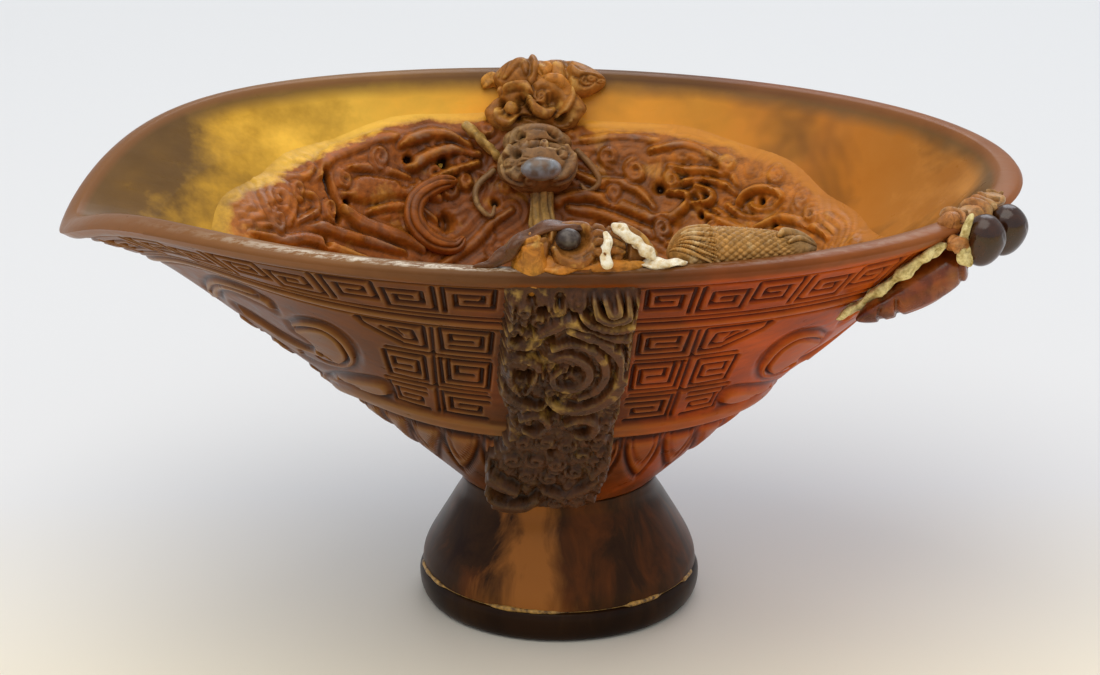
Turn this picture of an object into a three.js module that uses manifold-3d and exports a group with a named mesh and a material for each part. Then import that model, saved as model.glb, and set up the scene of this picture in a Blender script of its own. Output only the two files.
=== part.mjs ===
// A Chinese libation cup of carved horn, in millimetres, +Z up.
// The origin is the centre of the foot's underside.
// The spout points along -X, the handle is near +X, and the front flange faces -Y.
// The bowl is one function of an angle round the cup and a share of the way up its wall.
// Every other piece takes its place from that function, so the whole cup follows its sizes.

import * as THREE from "three";
import { mergeVertices } from "three/addons/utils/BufferGeometryUtils.js";
import Module from "manifold-3d";

const wasm = await Module();
wasm.setup();

const degree = Math.PI / 180;

// Rim of the bowl, seen from above and from the side
const rim_half_length = 84.5;
const rim_half_width = 55;
const rim_centre_x = -3.7;
const rim_height = 80.3;
const spout_droop = 11.8;
const handle_end_fall = 1.8;
const spout_pinch_share = 0.28;
const spout_angle = 180 * degree;
const droop_spread = 26 * degree;
const pinch_spread = 30 * degree;

// Neck of the bowl and the shape of the wall between neck and rim
const neck_radius = 17.6;
const neck_height = 24;
const neck_centre_x = -0.5;
const elbow_place_share = 0.76;
const elbow_rise_share = 0.13;
const elbow_round_share = 0.05;
const elbow_spread = 45 * degree;
const wall = 3.6;
const lip_rise = 0.9;
const cavity_floor_share = 0.14;

// Carved rings that stand proud of the outer wall
const ring_height = 0.8;
const lower_ring_share = 0.33;
const lower_ring_width_share = 0.026;
const upper_ring_height = 0.5;
const upper_ring_share = 0.765;
const upper_ring_width_share = 0.012;

// Clearance between glued pieces, and how far a cutting body overruns
const gap = 0.3;
const overrun = 1;

// Foot
const foot_seam_height = 6;
const foot_wall = 4;
const foot_web = 7;
const foot_widest_radius = 24.9;
const seam_groove = 0.9;
const seam_bead_radius = 0.55;
const dowel_radius = 4;
const dowel_in_bowl = 6;
const dowel_in_foot = 6.4;

// Carved lining of the cavity
const bed_thickness = 2.2;
const bed_relief = 1.3;

// Flanges on the two long sides
const flange_half_width = 11.6;
const flange_height = 3.4;
const flange_relief = 2;
const flange_drift = 3.6;
const flange_top_share = 0.93;
const flange_bottom_share = 0.012;

const bowl_sides = 56;

// How far apart two directions are, as an angle
function angle_between(angle, centre) {
  return Math.abs(Math.atan2(Math.sin(angle - centre), Math.cos(angle - centre)));
}

// A smooth swelling that is 1 at its centre and fades over its spread
function swell(distance, spread) {
  return Math.exp(-((distance / spread) ** 2));
}

function mix(low, high, share) {
  return low + (high - low) * share;
}

// The value of a table of shares at a place from 0 to 1 along it
function along_table(shares, place) {
  const reach = Math.min(Math.max(place, 0), 1) * (shares.length - 1);
  const index = Math.min(Math.floor(reach), shares.length - 2);
  return mix(shares[index], shares[index + 1], reach - index);
}

function rim_point(angle) {
  const from_spout = angle_between(angle, spout_angle);
  const pinch = 1 - spout_pinch_share * swell(from_spout, pinch_spread);
  return new THREE.Vector3(
    rim_centre_x + rim_half_length * Math.cos(angle),
    rim_half_width * Math.sin(angle) * pinch,
    rim_height - spout_droop * swell(from_spout, droop_spread) - handle_end_fall * Math.cos(angle),
  );
}

// The wall rises straight from neck to rim, with an elbow under the spout
function wall_rise(angle, share) {
  const below = share / elbow_place_share;
  const above = (1 - share) / (1 - elbow_place_share);
  const elbow = (below + above - Math.hypot(below - above, Math.sqrt(elbow_round_share))) / 2;
  const rise = elbow_rise_share * swell(angle_between(angle, spout_angle), elbow_spread);
  return share + rise * elbow;
}

function wall_point(angle, share) {
  const rim = rim_point(angle);
  return new THREE.Vector3(
    mix(neck_centre_x + neck_radius * Math.cos(angle), rim.x, share),
    mix(neck_radius * Math.sin(angle), rim.y, share),
    mix(neck_height, rim.z, wall_rise(angle, share)),
  );
}

// Outward direction of the wall, from two short steps along it
function wall_normal(angle, share) {
  const step = 1e-4;
  const round = wall_point(angle + step, share).sub(wall_point(angle - step, share));
  const up = wall_point(angle, share + step).sub(wall_point(angle, share - step));
  return round.cross(up).normalize();
}

function off_wall(angle, share, distance) {
  return wall_point(angle, share).addScaledVector(wall_normal(angle, share), distance);
}

// Direction along the wall at one height, towards a growing angle
function wall_tangent(angle, share) {
  const step = 1e-4;
  return wall_point(angle + step, share).sub(wall_point(angle - step, share)).normalize();
}

// The angle at which the wall has a given x, on the front (side -1) or the back (side 1)
function angle_at_x(x, share, side) {
  const middle = mix(neck_centre_x, rim_centre_x, share);
  const reach = mix(neck_radius, rim_half_length, share);
  return side * Math.acos(Math.min(Math.max((x - middle) / reach, -1), 1));
}

// A closed body through a stack of rings of points, with its two ends filled
function body_of_rings(rings) {
  const count = rings[0].length;
  const points = rings.flat();
  for (const end of [rings[0], rings[rings.length - 1]]) {
    const middle = new THREE.Vector3();
    for (const point of end) middle.addScaledVector(point, 1 / end.length);
    points.push(middle);
  }
  const faces = [];
  for (let level = 0; level < rings.length - 1; level += 1) {
    for (let side = 0; side < count; side += 1) {
      const a = level * count + side;
      const b = level * count + ((side + 1) % count);
      faces.push(a, b, b + count, a, b + count, a + count);
    }
  }
  const last = (rings.length - 1) * count;
  for (let side = 0; side < count; side += 1) {
    const next = (side + 1) % count;
    faces.push(points.length - 2, next, side);
    faces.push(points.length - 1, last + side, last + next);
  }
  return outward_body(points, faces);
}

// A geometry of these points and faces, turned inside out if its faces point inwards
function outward_body(points, faces) {
  let volume = 0;
  for (let face = 0; face < faces.length; face += 3) {
    const [a, b, c] = [points[faces[face]], points[faces[face + 1]], points[faces[face + 2]]];
    volume += a.dot(b.clone().cross(c));
  }
  if (volume < 0) faces.reverse();
  const geometry = new THREE.BufferGeometry();
  const values = points.flatMap((point) => point.toArray());
  geometry.setAttribute("position", new THREE.Float32BufferAttribute(values, 3));
  geometry.setIndex(faces);
  return geometry;
}

function to_solid(geometry) {
  const bare = geometry.clone();
  bare.deleteAttribute("normal");
  bare.deleteAttribute("uv");
  const merged = mergeVertices(bare);
  return new wasm.Manifold(new wasm.Mesh({
    numProp: 3,
    vertProperties: new Float32Array(merged.attributes.position.array),
    triVerts: new Uint32Array(merged.index.array),
  }));
}

function to_geometry(solid) {
  const mesh = solid.getMesh();
  const geometry = new THREE.BufferGeometry();
  const points = new Float32Array(mesh.numVert * 3);
  for (let index = 0; index < mesh.numVert; index += 1) {
    points.set(mesh.vertProperties.slice(index * mesh.numProp, index * mesh.numProp + 3), index * 3);
  }
  geometry.setAttribute("position", new THREE.BufferAttribute(points, 3));
  geometry.setIndex(new THREE.BufferAttribute(new Uint32Array(mesh.triVerts), 1));
  return geometry;
}

function join(geometries) {
  return to_geometry(geometries.map(to_solid).reduce((sum, solid) => sum.add(solid)));
}

// The largest body that is left of a geometry once the cutters are taken from it
function cut(geometry, cutters) {
  const rest = cutters.reduce((left, cutter) => left.subtract(to_solid(cutter)), to_solid(geometry));
  const bodies = rest.decompose();
  bodies.sort((a, b) => b.volume() - a.volume());
  return to_geometry(bodies[0]);
}

// A round bar through points, with its radius from a table of shares along it
function bar(points, radius, radius_shares, sides, steps, grow = 0) {
  const curve = new THREE.CatmullRomCurve3(points);
  const frames = curve.computeFrenetFrames(steps, false);
  const rings = [];
  for (let step = 0; step <= steps; step += 1) {
    const centre = curve.getPointAt(step / steps);
    if (step === 0) centre.addScaledVector(frames.tangents[step], -grow);
    if (step === steps) centre.addScaledVector(frames.tangents[step], grow);
    const reach = radius * along_table(radius_shares, step / steps) + grow;
    const ring = [];
    for (let side = 0; side < sides; side += 1) {
      const turn = (side / sides) * 2 * Math.PI;
      const point = centre.clone();
      point.addScaledVector(frames.normals[step], reach * Math.cos(turn));
      point.addScaledVector(frames.binormals[step], reach * Math.sin(turn));
      ring.push(point);
    }
    rings.push(ring);
  }
  return body_of_rings(rings);
}

// An egg with three half-lengths, laid along the wall: round it, up it and out of it
function egg(angle, share, distance, half_lengths, sides, grow = 0) {
  const out = wall_normal(angle, share);
  const round = wall_tangent(angle, share);
  const up = out.clone().cross(round);
  const [half_round, half_up, half_out] = half_lengths.map((half) => half + grow);
  const geometry = new THREE.SphereGeometry(1, sides, Math.ceil(sides / 2));
  const place = new THREE.Matrix4().makeBasis(
    round.multiplyScalar(half_round),
    up.multiplyScalar(half_up),
    out.multiplyScalar(half_out),
  );
  place.setPosition(off_wall(angle, share, distance));
  const body = to_solid(geometry.applyMatrix4(place));
  return to_geometry(body);
}

function angles_round(sides) {
  return Array.from({ length: sides }, (_, side) => (side / sides) * 2 * Math.PI);
}

// Bowl
const inner_top_share = 0.965;
const outer_shares = [0, 0.16, 0.46, 0.6, 0.88, 1].concat(
  [-1.7, -0.8, 0.8, 1.7].map((step) => lower_ring_share + step * lower_ring_width_share),
  [-1.7, -0.8, 0.8, 1.7].map((step) => upper_ring_share + step * upper_ring_width_share),
).sort((a, b) => a - b);
const lip_shares = [0.12, 0.5, 0.88];
const inner_shares = [inner_top_share, 0.82, 0.66, 0.5, 0.34, 0.22, cavity_floor_share];

// Height of the two carved rings at a share of the way up the wall
function ring_proud(share) {
  const lower = Math.abs(share - lower_ring_share) < lower_ring_width_share;
  const upper = Math.abs(share - upper_ring_share) < upper_ring_width_share;
  return (lower ? ring_height : 0) + (upper ? upper_ring_height : 0);
}

// The shell of the bowl; a grown copy of it cuts the pieces that are glued to it
function bowl_shell(grow) {
  const angles = angles_round(bowl_sides);
  const foot_of_wall = angles.map((angle) => off_wall(angle, 0, grow).setZ(neck_height - grow));
  const outer = outer_shares.map((share) => angles.map(
    (angle) => off_wall(angle, share, ring_proud(share) + grow)));
  const lip = lip_shares.map((across) => angles.map((angle) => {
    const point = off_wall(angle, 1, grow).lerp(off_wall(angle, inner_top_share, -wall - grow), across);
    point.z += (lip_rise + grow) * Math.sqrt(4 * across * (1 - across));
    return point;
  }));
  const inner = inner_shares.map((share) => angles.map((angle) => off_wall(angle, share, -wall - grow)));
  return body_of_rings([foot_of_wall, ...outer.slice(1), ...lip, ...inner]);
}

function upright_cylinder(radius, low, high, sides) {
  const geometry = new THREE.CylinderGeometry(radius, radius, high - low, sides);
  return geometry.rotateX(Math.PI / 2).translate(neck_centre_x, 0, (low + high) / 2);
}

const dowel_top = neck_height + dowel_in_bowl;
const dowel_bottom = neck_height - dowel_in_foot;
const dowel_sides = 16;

// Great scroll, lobe and far scroll on each quarter of the outside, as low rounded ridges.
// A place is a share of the turn from the flange's middle to the cup's end, and a share of the wall.
const scroll_radius = 2.4;
const scroll_sink_share = 0.55;
const scroll_radius_shares = [0.7, 1, 1, 1, 0.75];
const scroll_sides = 8;
const scroll_steps_a_place = 1.3;
const scroll_ridge_shares = [
  [[0.59, 0.588], [0.52, 0.622], [0.474, 0.63], [0.457, 0.6], [0.469, 0.547], [0.519, 0.487],
    [0.604, 0.445], [0.69, 0.442], [0.777, 0.482], [0.81, 0.56]],
  [[0.79, 0.361], [0.655, 0.383], [0.535, 0.404], [0.462, 0.407]],
  [[0.593, 0.691], [0.658, 0.7], [0.742, 0.687], [0.846, 0.653]],
];

function scroll_ridge(places, side_x, side_y, grow) {
  const points = places.map(([turn_share, share]) => {
    const start = angle_at_x(-flange_drift * (1 - share), share, side_y);
    const end = side_x > 0 ? 0 : side_y * Math.PI;
    return off_wall(mix(start, end, turn_share), share, -scroll_radius * scroll_sink_share);
  });
  return bar(points, scroll_radius, scroll_radius_shares, scroll_sides,
    Math.ceil(scroll_steps_a_place * places.length), grow);
}

function bowl_body(grow) {
  const ridges = [[-1, -1], [1, -1], [-1, 1], [1, 1]].flatMap(([side_x, side_y]) =>
    scroll_ridge_shares.map((places) => scroll_ridge(places, side_x, side_y, grow)));
  return join([bowl_shell(grow), ...ridges]);
}

const bowl = cut(bowl_body(0), [
  upright_cylinder(dowel_radius + gap, neck_height - overrun, dowel_top + gap, dowel_sides),
]);
const bowl_cutter = bowl_body(gap);
const neck_dowel = upright_cylinder(dowel_radius, dowel_bottom, dowel_top, dowel_sides);

// Carved lining: a bed of clouds and waves that lies on the wall of the cavity
const bed_low_share = 0.69;
const bed_high_share = 0.885;
const bed_floor_share = cavity_floor_share + 0.003;
const bed_outer_places = [0, 0.3, 0.65, 1];
const bed_inner_places = [1, 0.93, 0.82, 0.7, 0.58, 0.46, 0.34, 0.22, 0.1];
const bed_waves_round = 9;
const bed_waves_up = 3;
const bed_bend = 1.6;
const bed_edge_share = 0.12;

function bed_top_share(angle) {
  return mix(bed_low_share, bed_high_share, Math.sin(angle) ** 2);
}

// Slanting waves, flat at the upper edge of the bed
function bed_swirl(angle, place) {
  const bend = bed_bend * Math.sin(2 * angle) + 2 * Math.PI * bed_waves_up * place;
  const wave = (1 + Math.sin(bed_waves_round * angle + bend)) / 2;
  return wave * Math.min(1, (1 - place) / bed_edge_share);
}

function bed_depth(angle, share) {
  const place = (share - bed_floor_share) / (bed_top_share(angle) - bed_floor_share);
  return wall + gap + bed_thickness + bed_relief * bed_swirl(angle, Math.min(Math.max(place, 0), 1));
}

function bed_body(grow) {
  const angles = angles_round(bowl_sides);
  const share_at = (angle, place) => mix(bed_floor_share, bed_top_share(angle), place);
  const outer = bed_outer_places.map((place) => angles.map(
    (angle) => off_wall(angle, share_at(angle, place), -wall - gap + grow)));
  const inner = bed_inner_places.map((place) => angles.map((angle) => {
    const share = share_at(angle, place);
    return off_wall(angle, share, -bed_depth(angle, share) - grow);
  }));
  return body_of_rings([...outer, ...inner]);
}

// Distance from the wall of a piece whose root lies on the bed
function above_bed(angle, share, lift) {
  return -bed_depth(angle, share) - lift;
}

const bar_lift_share = 0.5;

// A bar that lies on the bed through places given as an angle in degrees and a share of the wall
function bed_bar(places, radius, radius_shares, sides, steps, grow = 0) {
  const points = places.map(([angle, share]) => off_wall(
    angle * degree, share, above_bed(angle * degree, share, radius * bar_lift_share)));
  return bar(points, radius, radius_shares, sides, steps, grow);
}

// Main strokes of the carving on the far wall, each repeated as its mirror image on the near wall
const band_radius = 1.9;
const band_radius_shares = [0.4, 0.85, 1, 0.9, 0.5];
const band_sides = 6;
const band_steps_a_place = 2;
const cloud_band_shares = [
  [[131.5, 0.64], [127, 0.645], [123, 0.645]],
  [[134, 0.6], [132, 0.56], [128, 0.53], [124.5, 0.51]],
  [[136, 0.685], [132.5, 0.705], [127, 0.75], [121, 0.77], [115, 0.79], [110.5, 0.775]],
  [[160, 0.63], [152, 0.595], [144.5, 0.57], [139, 0.535], [132.5, 0.505], [125.5, 0.47]],
  [[148, 0.7], [143, 0.68], [142.5, 0.64], [148, 0.61], [153.5, 0.63], [153.5, 0.67]],
  [[75, 0.605], [69.5, 0.58], [64, 0.575], [61.5, 0.6], [61, 0.63], [65, 0.655]],
  [[50, 0.64], [49.5, 0.67], [45, 0.695], [39.5, 0.675], [41, 0.635]],
  [[71.5, 0.76], [66, 0.79], [61, 0.77], [56, 0.73], [52.5, 0.69]],
  [[38, 0.545], [34, 0.59], [27.5, 0.59], [22, 0.565]],
  [[78, 0.5], [70, 0.46], [60, 0.44], [48, 0.45]],
  [[140, 0.44], [126, 0.37], [108, 0.33], [92, 0.33], [74, 0.36]],
];

function cloud_bands(grow) {
  return [1, -1].flatMap((side) => cloud_band_shares.map((places) => bed_bar(
    places.map(([angle, share]) => [side * angle, share]),
    band_radius, band_radius_shares, band_sides, band_steps_a_place * places.length, grow)));
}

const cloud_bed = join([bed_body(0), ...cloud_bands(0)]);
const bed_cutter = join([bed_body(gap), ...cloud_bands(gap)]);

// Foot: a flared horn cone with a web at its top, on a dark disc, with adhesive in the joint
const foot_height = neck_height - gap;
const foot_outline_radius_shares = [0.985, 0.975, 0.945, 0.9, 0.86, 0.815, 0.77, 0.718, 0.698, 0.705];
const foot_outline_height_shares = [0, 0.12, 0.24, 0.36, 0.46, 0.57, 0.68, 0.8, 0.9, 1];
const base_outline_radius_shares = [0.92, 0.97, 1, 1.008, 1.004, 0.985];
const base_outline_height_shares = [0, 0.09, 0.35, 0.65, 0.85, 1];
const foot_sides = 40;

function lathe(outline) {
  const closed = [...outline, outline[0]].map(([radius, height]) => new THREE.Vector2(radius, height));
  const solid = to_solid(new THREE.LatheGeometry(closed, foot_sides).rotateX(Math.PI / 2));
  return to_geometry(solid);
}

function foot_outline(low, high, radius_shares, height_shares) {
  return radius_shares.map((share, index) => [
    foot_widest_radius * share,
    mix(low, high, height_shares[index]),
  ]);
}

const seam_sides = 6;

function seam_ring(radius) {
  const seam_radius = foot_widest_radius * base_outline_radius_shares.at(-1) - seam_groove / 2;
  const ring = Array.from({ length: seam_sides }, (_, side) => {
    const turn = (side / seam_sides) * 2 * Math.PI;
    const middle = seam_radius + seam_groove / 2;
    return [middle + radius * Math.cos(turn), foot_seam_height + radius * Math.sin(turn)];
  });
  return lathe(ring);
}

const foot_bottom = foot_seam_height + gap / 2;
const foot_outer = foot_outline(
  foot_bottom, foot_height, foot_outline_radius_shares, foot_outline_height_shares);
const web_bottom = foot_height - foot_web;
const foot_inner = [
  [0, foot_height],
  [0, web_bottom],
  [foot_outer.at(-3)[0] - foot_wall, web_bottom],
  [foot_outer[0][0] - foot_wall, foot_bottom],
];
const seam_cutter = seam_ring(seam_bead_radius + gap);
const foot_bore = upright_cylinder(
  dowel_radius + gap, web_bottom - overrun, foot_height + overrun, dowel_sides);
const foot = cut(lathe([...foot_outer, ...foot_inner]), [seam_cutter, foot_bore]);
const foot_cutter = lathe([
  [0, foot_bottom],
  ...foot_outer.map(([radius, height]) => [radius + gap, height]),
  [foot_outer.at(-1)[0] + gap, neck_height],
  [0, neck_height],
]);
const base_top = foot_seam_height - gap / 2;
const base_outer = foot_outline(0, base_top, base_outline_radius_shares, base_outline_height_shares);
const foot_base = cut(lathe([[0, 0], ...base_outer, [0, base_top]]), [seam_cutter]);
const foot_seam_bead = seam_ring(seam_bead_radius);

// Flanges: broad relief strips from the lip to the neck, with coils that stand proud
const flange_steps_up = 20;
const flange_steps_across = 8;
const flange_edge_share = 0.45;
const flange_root_share = 0.25;
const flange_coil_shares = [
  { across: 0.5, up: 0.93, width: 0.4, height: 0.06, proud: 0.8 },
  { across: 0.3, up: 0.68, width: 0.62, height: 0.13, proud: 1 },
  { across: -0.6, up: 0.64, width: 0.35, height: 0.08, proud: 0.8 },
  { across: -0.35, up: 0.36, width: 0.5, height: 0.08, proud: 0.6 },
  { across: 0.4, up: 0.2, width: 0.5, height: 0.08, proud: 0.7 },
  { across: -0.1, up: 0.04, width: 0.5, height: 0.06, proud: 1.2 },
];

function flange_proud(across, up) {
  const coils = flange_coil_shares.map((coil) => coil.proud
    * swell(Math.hypot((across - coil.across) / coil.width, (up - coil.up) / coil.height), 1));
  const crown = 1 - flange_edge_share * across ** 4;
  return flange_height * crown + flange_relief * Math.max(...coils);
}

function flange_body(side, grow) {
  const rings = [];
  for (let step = 0; step <= flange_steps_up; step += 1) {
    const up = step / flange_steps_up;
    const share = mix(flange_bottom_share, flange_top_share, up);
    const middle = -flange_drift * (1 - share);
    const loop = [];
    for (let place = 0; place <= flange_steps_across; place += 1) {
      const across = mix(-1, 1, place / flange_steps_across);
      const angle = angle_at_x(middle + across * (flange_half_width + grow), share, side);
      const face = off_wall(angle, share, flange_proud(across, up) + grow);
      loop.push([face, off_wall(angle, share, -wall * flange_root_share)]);
    }
    rings.push([...loop.map((pair) => pair[0]), ...loop.reverse().map((pair) => pair[1])]);
  }
  return body_of_rings(rings);
}

const front_flange = cut(flange_body(-1, 0), [bowl_cutter, foot_cutter]);
const back_flange = cut(flange_body(1, 0), [bowl_cutter, foot_cutter]);

// Crests: the dragon heads that climb over the lip above each flange
const crest_lean = 4.5;
const crest_sides = 12;
const crest_steps = 12;
const front_crest_rise = 0.8;
const front_crest_radius = 5.4;
const front_crest_from_x = -11.4;
const front_crest_to_x = 14.5;
const front_crest_radius_shares = [0.32, 0.66, 0.86, 0.96, 1, 1, 0.88, 0.64, 0.42, 0.26];
const back_crest_fall = 2.5;
const back_crest_radius = 4.6;
const back_crest_from_x = -11.6;
const back_crest_to_x = 10.5;
const back_crest_radius_shares = [0.36, 0.9, 1, 0.82, 0.72, 0.7, 0.5, 0.32];

// Middle of the lip, leaning in over the hollow by a distance along the wall's normal
function lip_middle(angle, rise, lean = 0) {
  const point = off_wall(angle, 1, -lean).lerp(off_wall(angle, inner_top_share, -wall - lean), 0.5);
  point.z += rise;
  return point;
}

function rim_path(from_x, to_x, side, rise) {
  return [0, 0.25, 0.5, 0.75, 1].map((place) => lip_middle(
    angle_at_x(mix(from_x, to_x, place), 1, side), rise, crest_lean));
}

const bead_radius = 2.4;
const bead_x = -0.9;
const bead_out_share = 0.5;
const bead_up_share = 0.66;
const filler_top_share = 0.46;
const crest_end_share = 0.86;
const filler_radius = 0.8;
const filler_radius_shares = [0.6, 1, 0.8, 1, 0.6];

// The eye bead sits in the crest's outer face
function crest_bead(grow) {
  const angle = angle_at_x(bead_x, 1, -1);
  const place = lip_middle(angle, front_crest_rise + front_crest_radius * bead_up_share, crest_lean);
  place.y -= front_crest_radius * bead_out_share;
  const bead = new THREE.SphereGeometry(bead_radius + grow, 14, 8);
  return to_geometry(to_solid(bead.translate(place.x, place.y, place.z)));
}

// The adhesive fillet runs down the crest's right end, from its top to the lip
function crest_filler(grow) {
  const top_x = mix(bead_x, front_crest_to_x, filler_top_share);
  const top = lip_middle(
    angle_at_x(top_x, 1, -1), front_crest_rise + front_crest_radius * crest_end_share, crest_lean);
  const low = lip_middle(angle_at_x(front_crest_to_x, 1, -1), lip_rise + filler_radius);
  const middle = top.clone().lerp(low, 0.5);
  middle.z += filler_radius;
  return bar([top, middle, low], filler_radius, filler_radius_shares, 8, 6, grow);
}

function front_crest_bar(grow) {
  return bar(
    rim_path(front_crest_from_x, front_crest_to_x, -1, front_crest_rise),
    front_crest_radius, front_crest_radius_shares, crest_sides, crest_steps, grow);
}

const front_crest = cut(
  front_crest_bar(0), [bowl_cutter, flange_body(-1, gap), crest_bead(gap), crest_filler(gap)]);
const front_crest_bead = crest_bead(0);
const front_crest_filler = cut(crest_filler(0), [bowl_cutter]);

// Scaled dragon body along the inside of the near lip, from the crest to the right
const body_radius = 4.2;
const body_radius_shares = [0.75, 1, 1, 0.92, 0.8, 0.62, 0.35];
const body_start_x = front_crest_to_x + body_radius / 2;
const body_end_x = 43;
const body_share = 0.95;
const body_lift_shares = [0.8, 0.8, 0.62, 0.34];
const body_path = body_lift_shares.map((lift_share, index) => {
  const place = index / (body_lift_shares.length - 1);
  const angle = angle_at_x(mix(body_start_x, body_end_x, place), body_share, -1);
  return off_wall(angle, body_share, -wall - body_radius * lift_share);
});
const rim_dragon_blank = bar(body_path, body_radius, body_radius_shares, 10, 12);
const rim_dragon_body = cut(rim_dragon_blank, [
  bowl_cutter, bed_cutter, crest_filler(gap), front_crest_bar(gap),
]);

// Far crest: a head on the lip with its jaw hanging down the inside of the wall
const back_angle = 90 * degree;
const jaw_share = 0.87;
const jaw_half_round = 9;
const jaw_half_up = 5.5;
const jaw_half_out = 4;
function jaw(grow) {
  return egg(back_angle, jaw_share, -wall - jaw_half_out / 2,
    [jaw_half_round, jaw_half_up, jaw_half_out], 14, grow);
}

const back_crest_blank = join([
  bar(rim_path(back_crest_from_x, back_crest_to_x, 1, -back_crest_fall), back_crest_radius,
    back_crest_radius_shares, crest_sides, crest_steps),
  jaw(0),
]);
const back_crest = cut(back_crest_blank, [bowl_cutter, bed_cutter, flange_body(1, gap)]);

// The head that faces the viewer, halfway down the far wall, with its pearl, neck, rod and whiskers
const head_angle = 90.5 * degree;
const head_share = 0.69;
const head_half_round = 7.8;
const head_half_up = 5.4;
const head_half_out = 6.2;
const brow_share = 0.755;
const pearl_share = 0.655;
const pearl_half_round = 3.7;
const pearl_half_up = 2.2;
const pearl_half_out = 2.4;
const head_lift_share = 0.5;
const brow_lift_share = 0.35;
const brow_size_shares = [0.85, 0.62, 0.75];
const pearl_lift_share = 1.55;

function centre_pearl_body(grow) {
  const lift = head_half_out * pearl_lift_share;
  return egg(head_angle, pearl_share, above_bed(head_angle, pearl_share, lift),
    [pearl_half_round, pearl_half_up, pearl_half_out], 14, grow);
}

function centre_head_body(grow) {
  const half_lengths = [head_half_round, head_half_up, head_half_out];
  const brow_half_lengths = half_lengths.map((half, side) => half * brow_size_shares[side]);
  return join([
    egg(head_angle, head_share, above_bed(head_angle, head_share, head_half_out * head_lift_share),
      half_lengths, 14, grow),
    egg(head_angle, brow_share, above_bed(head_angle, brow_share, head_half_out * brow_lift_share),
      brow_half_lengths, 12, grow),
  ]);
}

const centre_head = cut(centre_head_body(0), [bowl_cutter, bed_cutter, centre_pearl_body(gap), jaw(gap)]);
const centre_pearl = centre_pearl_body(0);

const head_cutter = centre_head_body(gap);
const pillar_radius = 2.7;
const pillar_place_shares = [[90, 0.665], [90.2, 0.58], [90.2, 0.5]];
const pillar_radius_shares = [1, 0.8, 0.85, 1];
const centre_pillar = cut(
  bed_bar(pillar_place_shares, pillar_radius, pillar_radius_shares, 12, 8),
  [bed_cutter, head_cutter, centre_pearl_body(gap)]);

const whisker_radius = 0.9;
const whisker_radius_shares = [1, 0.95, 0.85, 0.6, 0.4];
const whisker_left_place_shares = [[98, 0.69], [102.2, 0.64], [103, 0.59], [101, 0.56], [99.5, 0.59]];
const whisker_right_place_shares = [[84, 0.75], [80.8, 0.7], [79.4, 0.66], [81.2, 0.635], [83, 0.655]];
const whisker_left = cut(
  bed_bar(whisker_left_place_shares, whisker_radius, whisker_radius_shares, 6, 12),
  [bed_cutter, head_cutter]);
const whisker_right = cut(
  bed_bar(whisker_right_place_shares, whisker_radius, whisker_radius_shares, 6, 12),
  [bed_cutter, head_cutter]);

const rod_radius = 1.1;
const rod_radius_shares = [0.7, 1, 1, 0.9];
const rod_place_shares = [[101.5, 0.82], [99.2, 0.77], [96.8, 0.715]];
const horn_rod = cut(
  bed_bar(rod_place_shares, rod_radius, rod_radius_shares, 6, 6), [bed_cutter, head_cutter, jaw(gap)]);

const curl_radius = 2;
const curl_radius_shares = [0.4, 0.8, 1, 1, 1, 0.9, 0.6];
const curl_place_shares = [
  [105.5, 0.655], [110, 0.645], [115.5, 0.605], [118.5, 0.545], [117, 0.49], [112, 0.475], [108.5, 0.5],
];
const cloud_curl = cut(bed_bar(curl_place_shares, curl_radius, curl_radius_shares, 8, 16), [bed_cutter]);

// Handle: a lobe that hangs from the rounded end down the outside of the wall
const handle_radius = 3.8;
const handle_radius_shares = [0.6, 0.9, 1.05, 1, 0.85, 0.6, 0.4];
const handle_sides = 12;
const handle_steps = 12;
const handle_lift = 3.1;
const handle_place_shares = [
  [-29.5, 0.945], [-32, 0.875], [-35.5, 0.822], [-39, 0.788], [-42.5, 0.762],
];
const knob_half_round = 4.1;
const knob_half_up = 4.7;
const knob_half_out = 3.3;
const knob_lift = 3;
const knob_near_shares = [-31.5, 0.998];
const knob_far_shares = [-23.2, 0.995];
const collar_radius = 3;
const collar_radius_shares = [0.5, 0.9, 0.75, 1, 0.75, 0.9, 0.5];
const collar_angle = -26.5 * degree;
const collar_half_turn = 9 * degree;
const handle_filler_radius = 1.1;
const handle_filler_place_shares = [[-36.2, 0.985], [-38.3, 0.94], [-39.4, 0.85], [-42, 0.75]];
const handle_filler_radius_shares = [0.6, 1, 0.8, 1, 0.7];

// A knob stands on the wall at an angle in degrees and a share of the wall
function knob([angle, share], grow) {
  return egg(angle * degree, share, knob_lift,
    [knob_half_round, knob_half_up, knob_half_out], 14, grow);
}

function handle_lobe(grow) {
  const points = handle_place_shares.map(([angle, share]) => off_wall(angle * degree, share, handle_lift));
  return bar(points, handle_radius, handle_radius_shares, handle_sides, handle_steps, grow);
}

function handle_filler_body(grow) {
  const points = handle_filler_place_shares.map(([angle, share]) => off_wall(
    angle * degree, share, gap + handle_filler_radius * bar_lift_share));
  return bar(points, handle_filler_radius, handle_filler_radius_shares, 6, 8, grow);
}

const knob_cutters = [knob(knob_near_shares, gap), knob(knob_far_shares, gap)];
const handle_knob_near = cut(knob(knob_near_shares, 0), [bowl_cutter]);
const handle_knob_far = cut(knob(knob_far_shares, 0), [bowl_cutter]);
const handle = cut(handle_lobe(0), [bowl_cutter, ...knob_cutters]);
const collar_path = [-1, -0.5, 0, 0.5, 1].map(
  (place) => lip_middle(collar_angle + place * collar_half_turn, lip_rise));
const handle_collar = cut(
  bar(collar_path, collar_radius, collar_radius_shares, 10, 14),
  [bowl_cutter, handle_lobe(gap), ...knob_cutters]);
const handle_filler = cut(handle_filler_body(0), [bowl_cutter, handle_lobe(gap), ...knob_cutters]);

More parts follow.
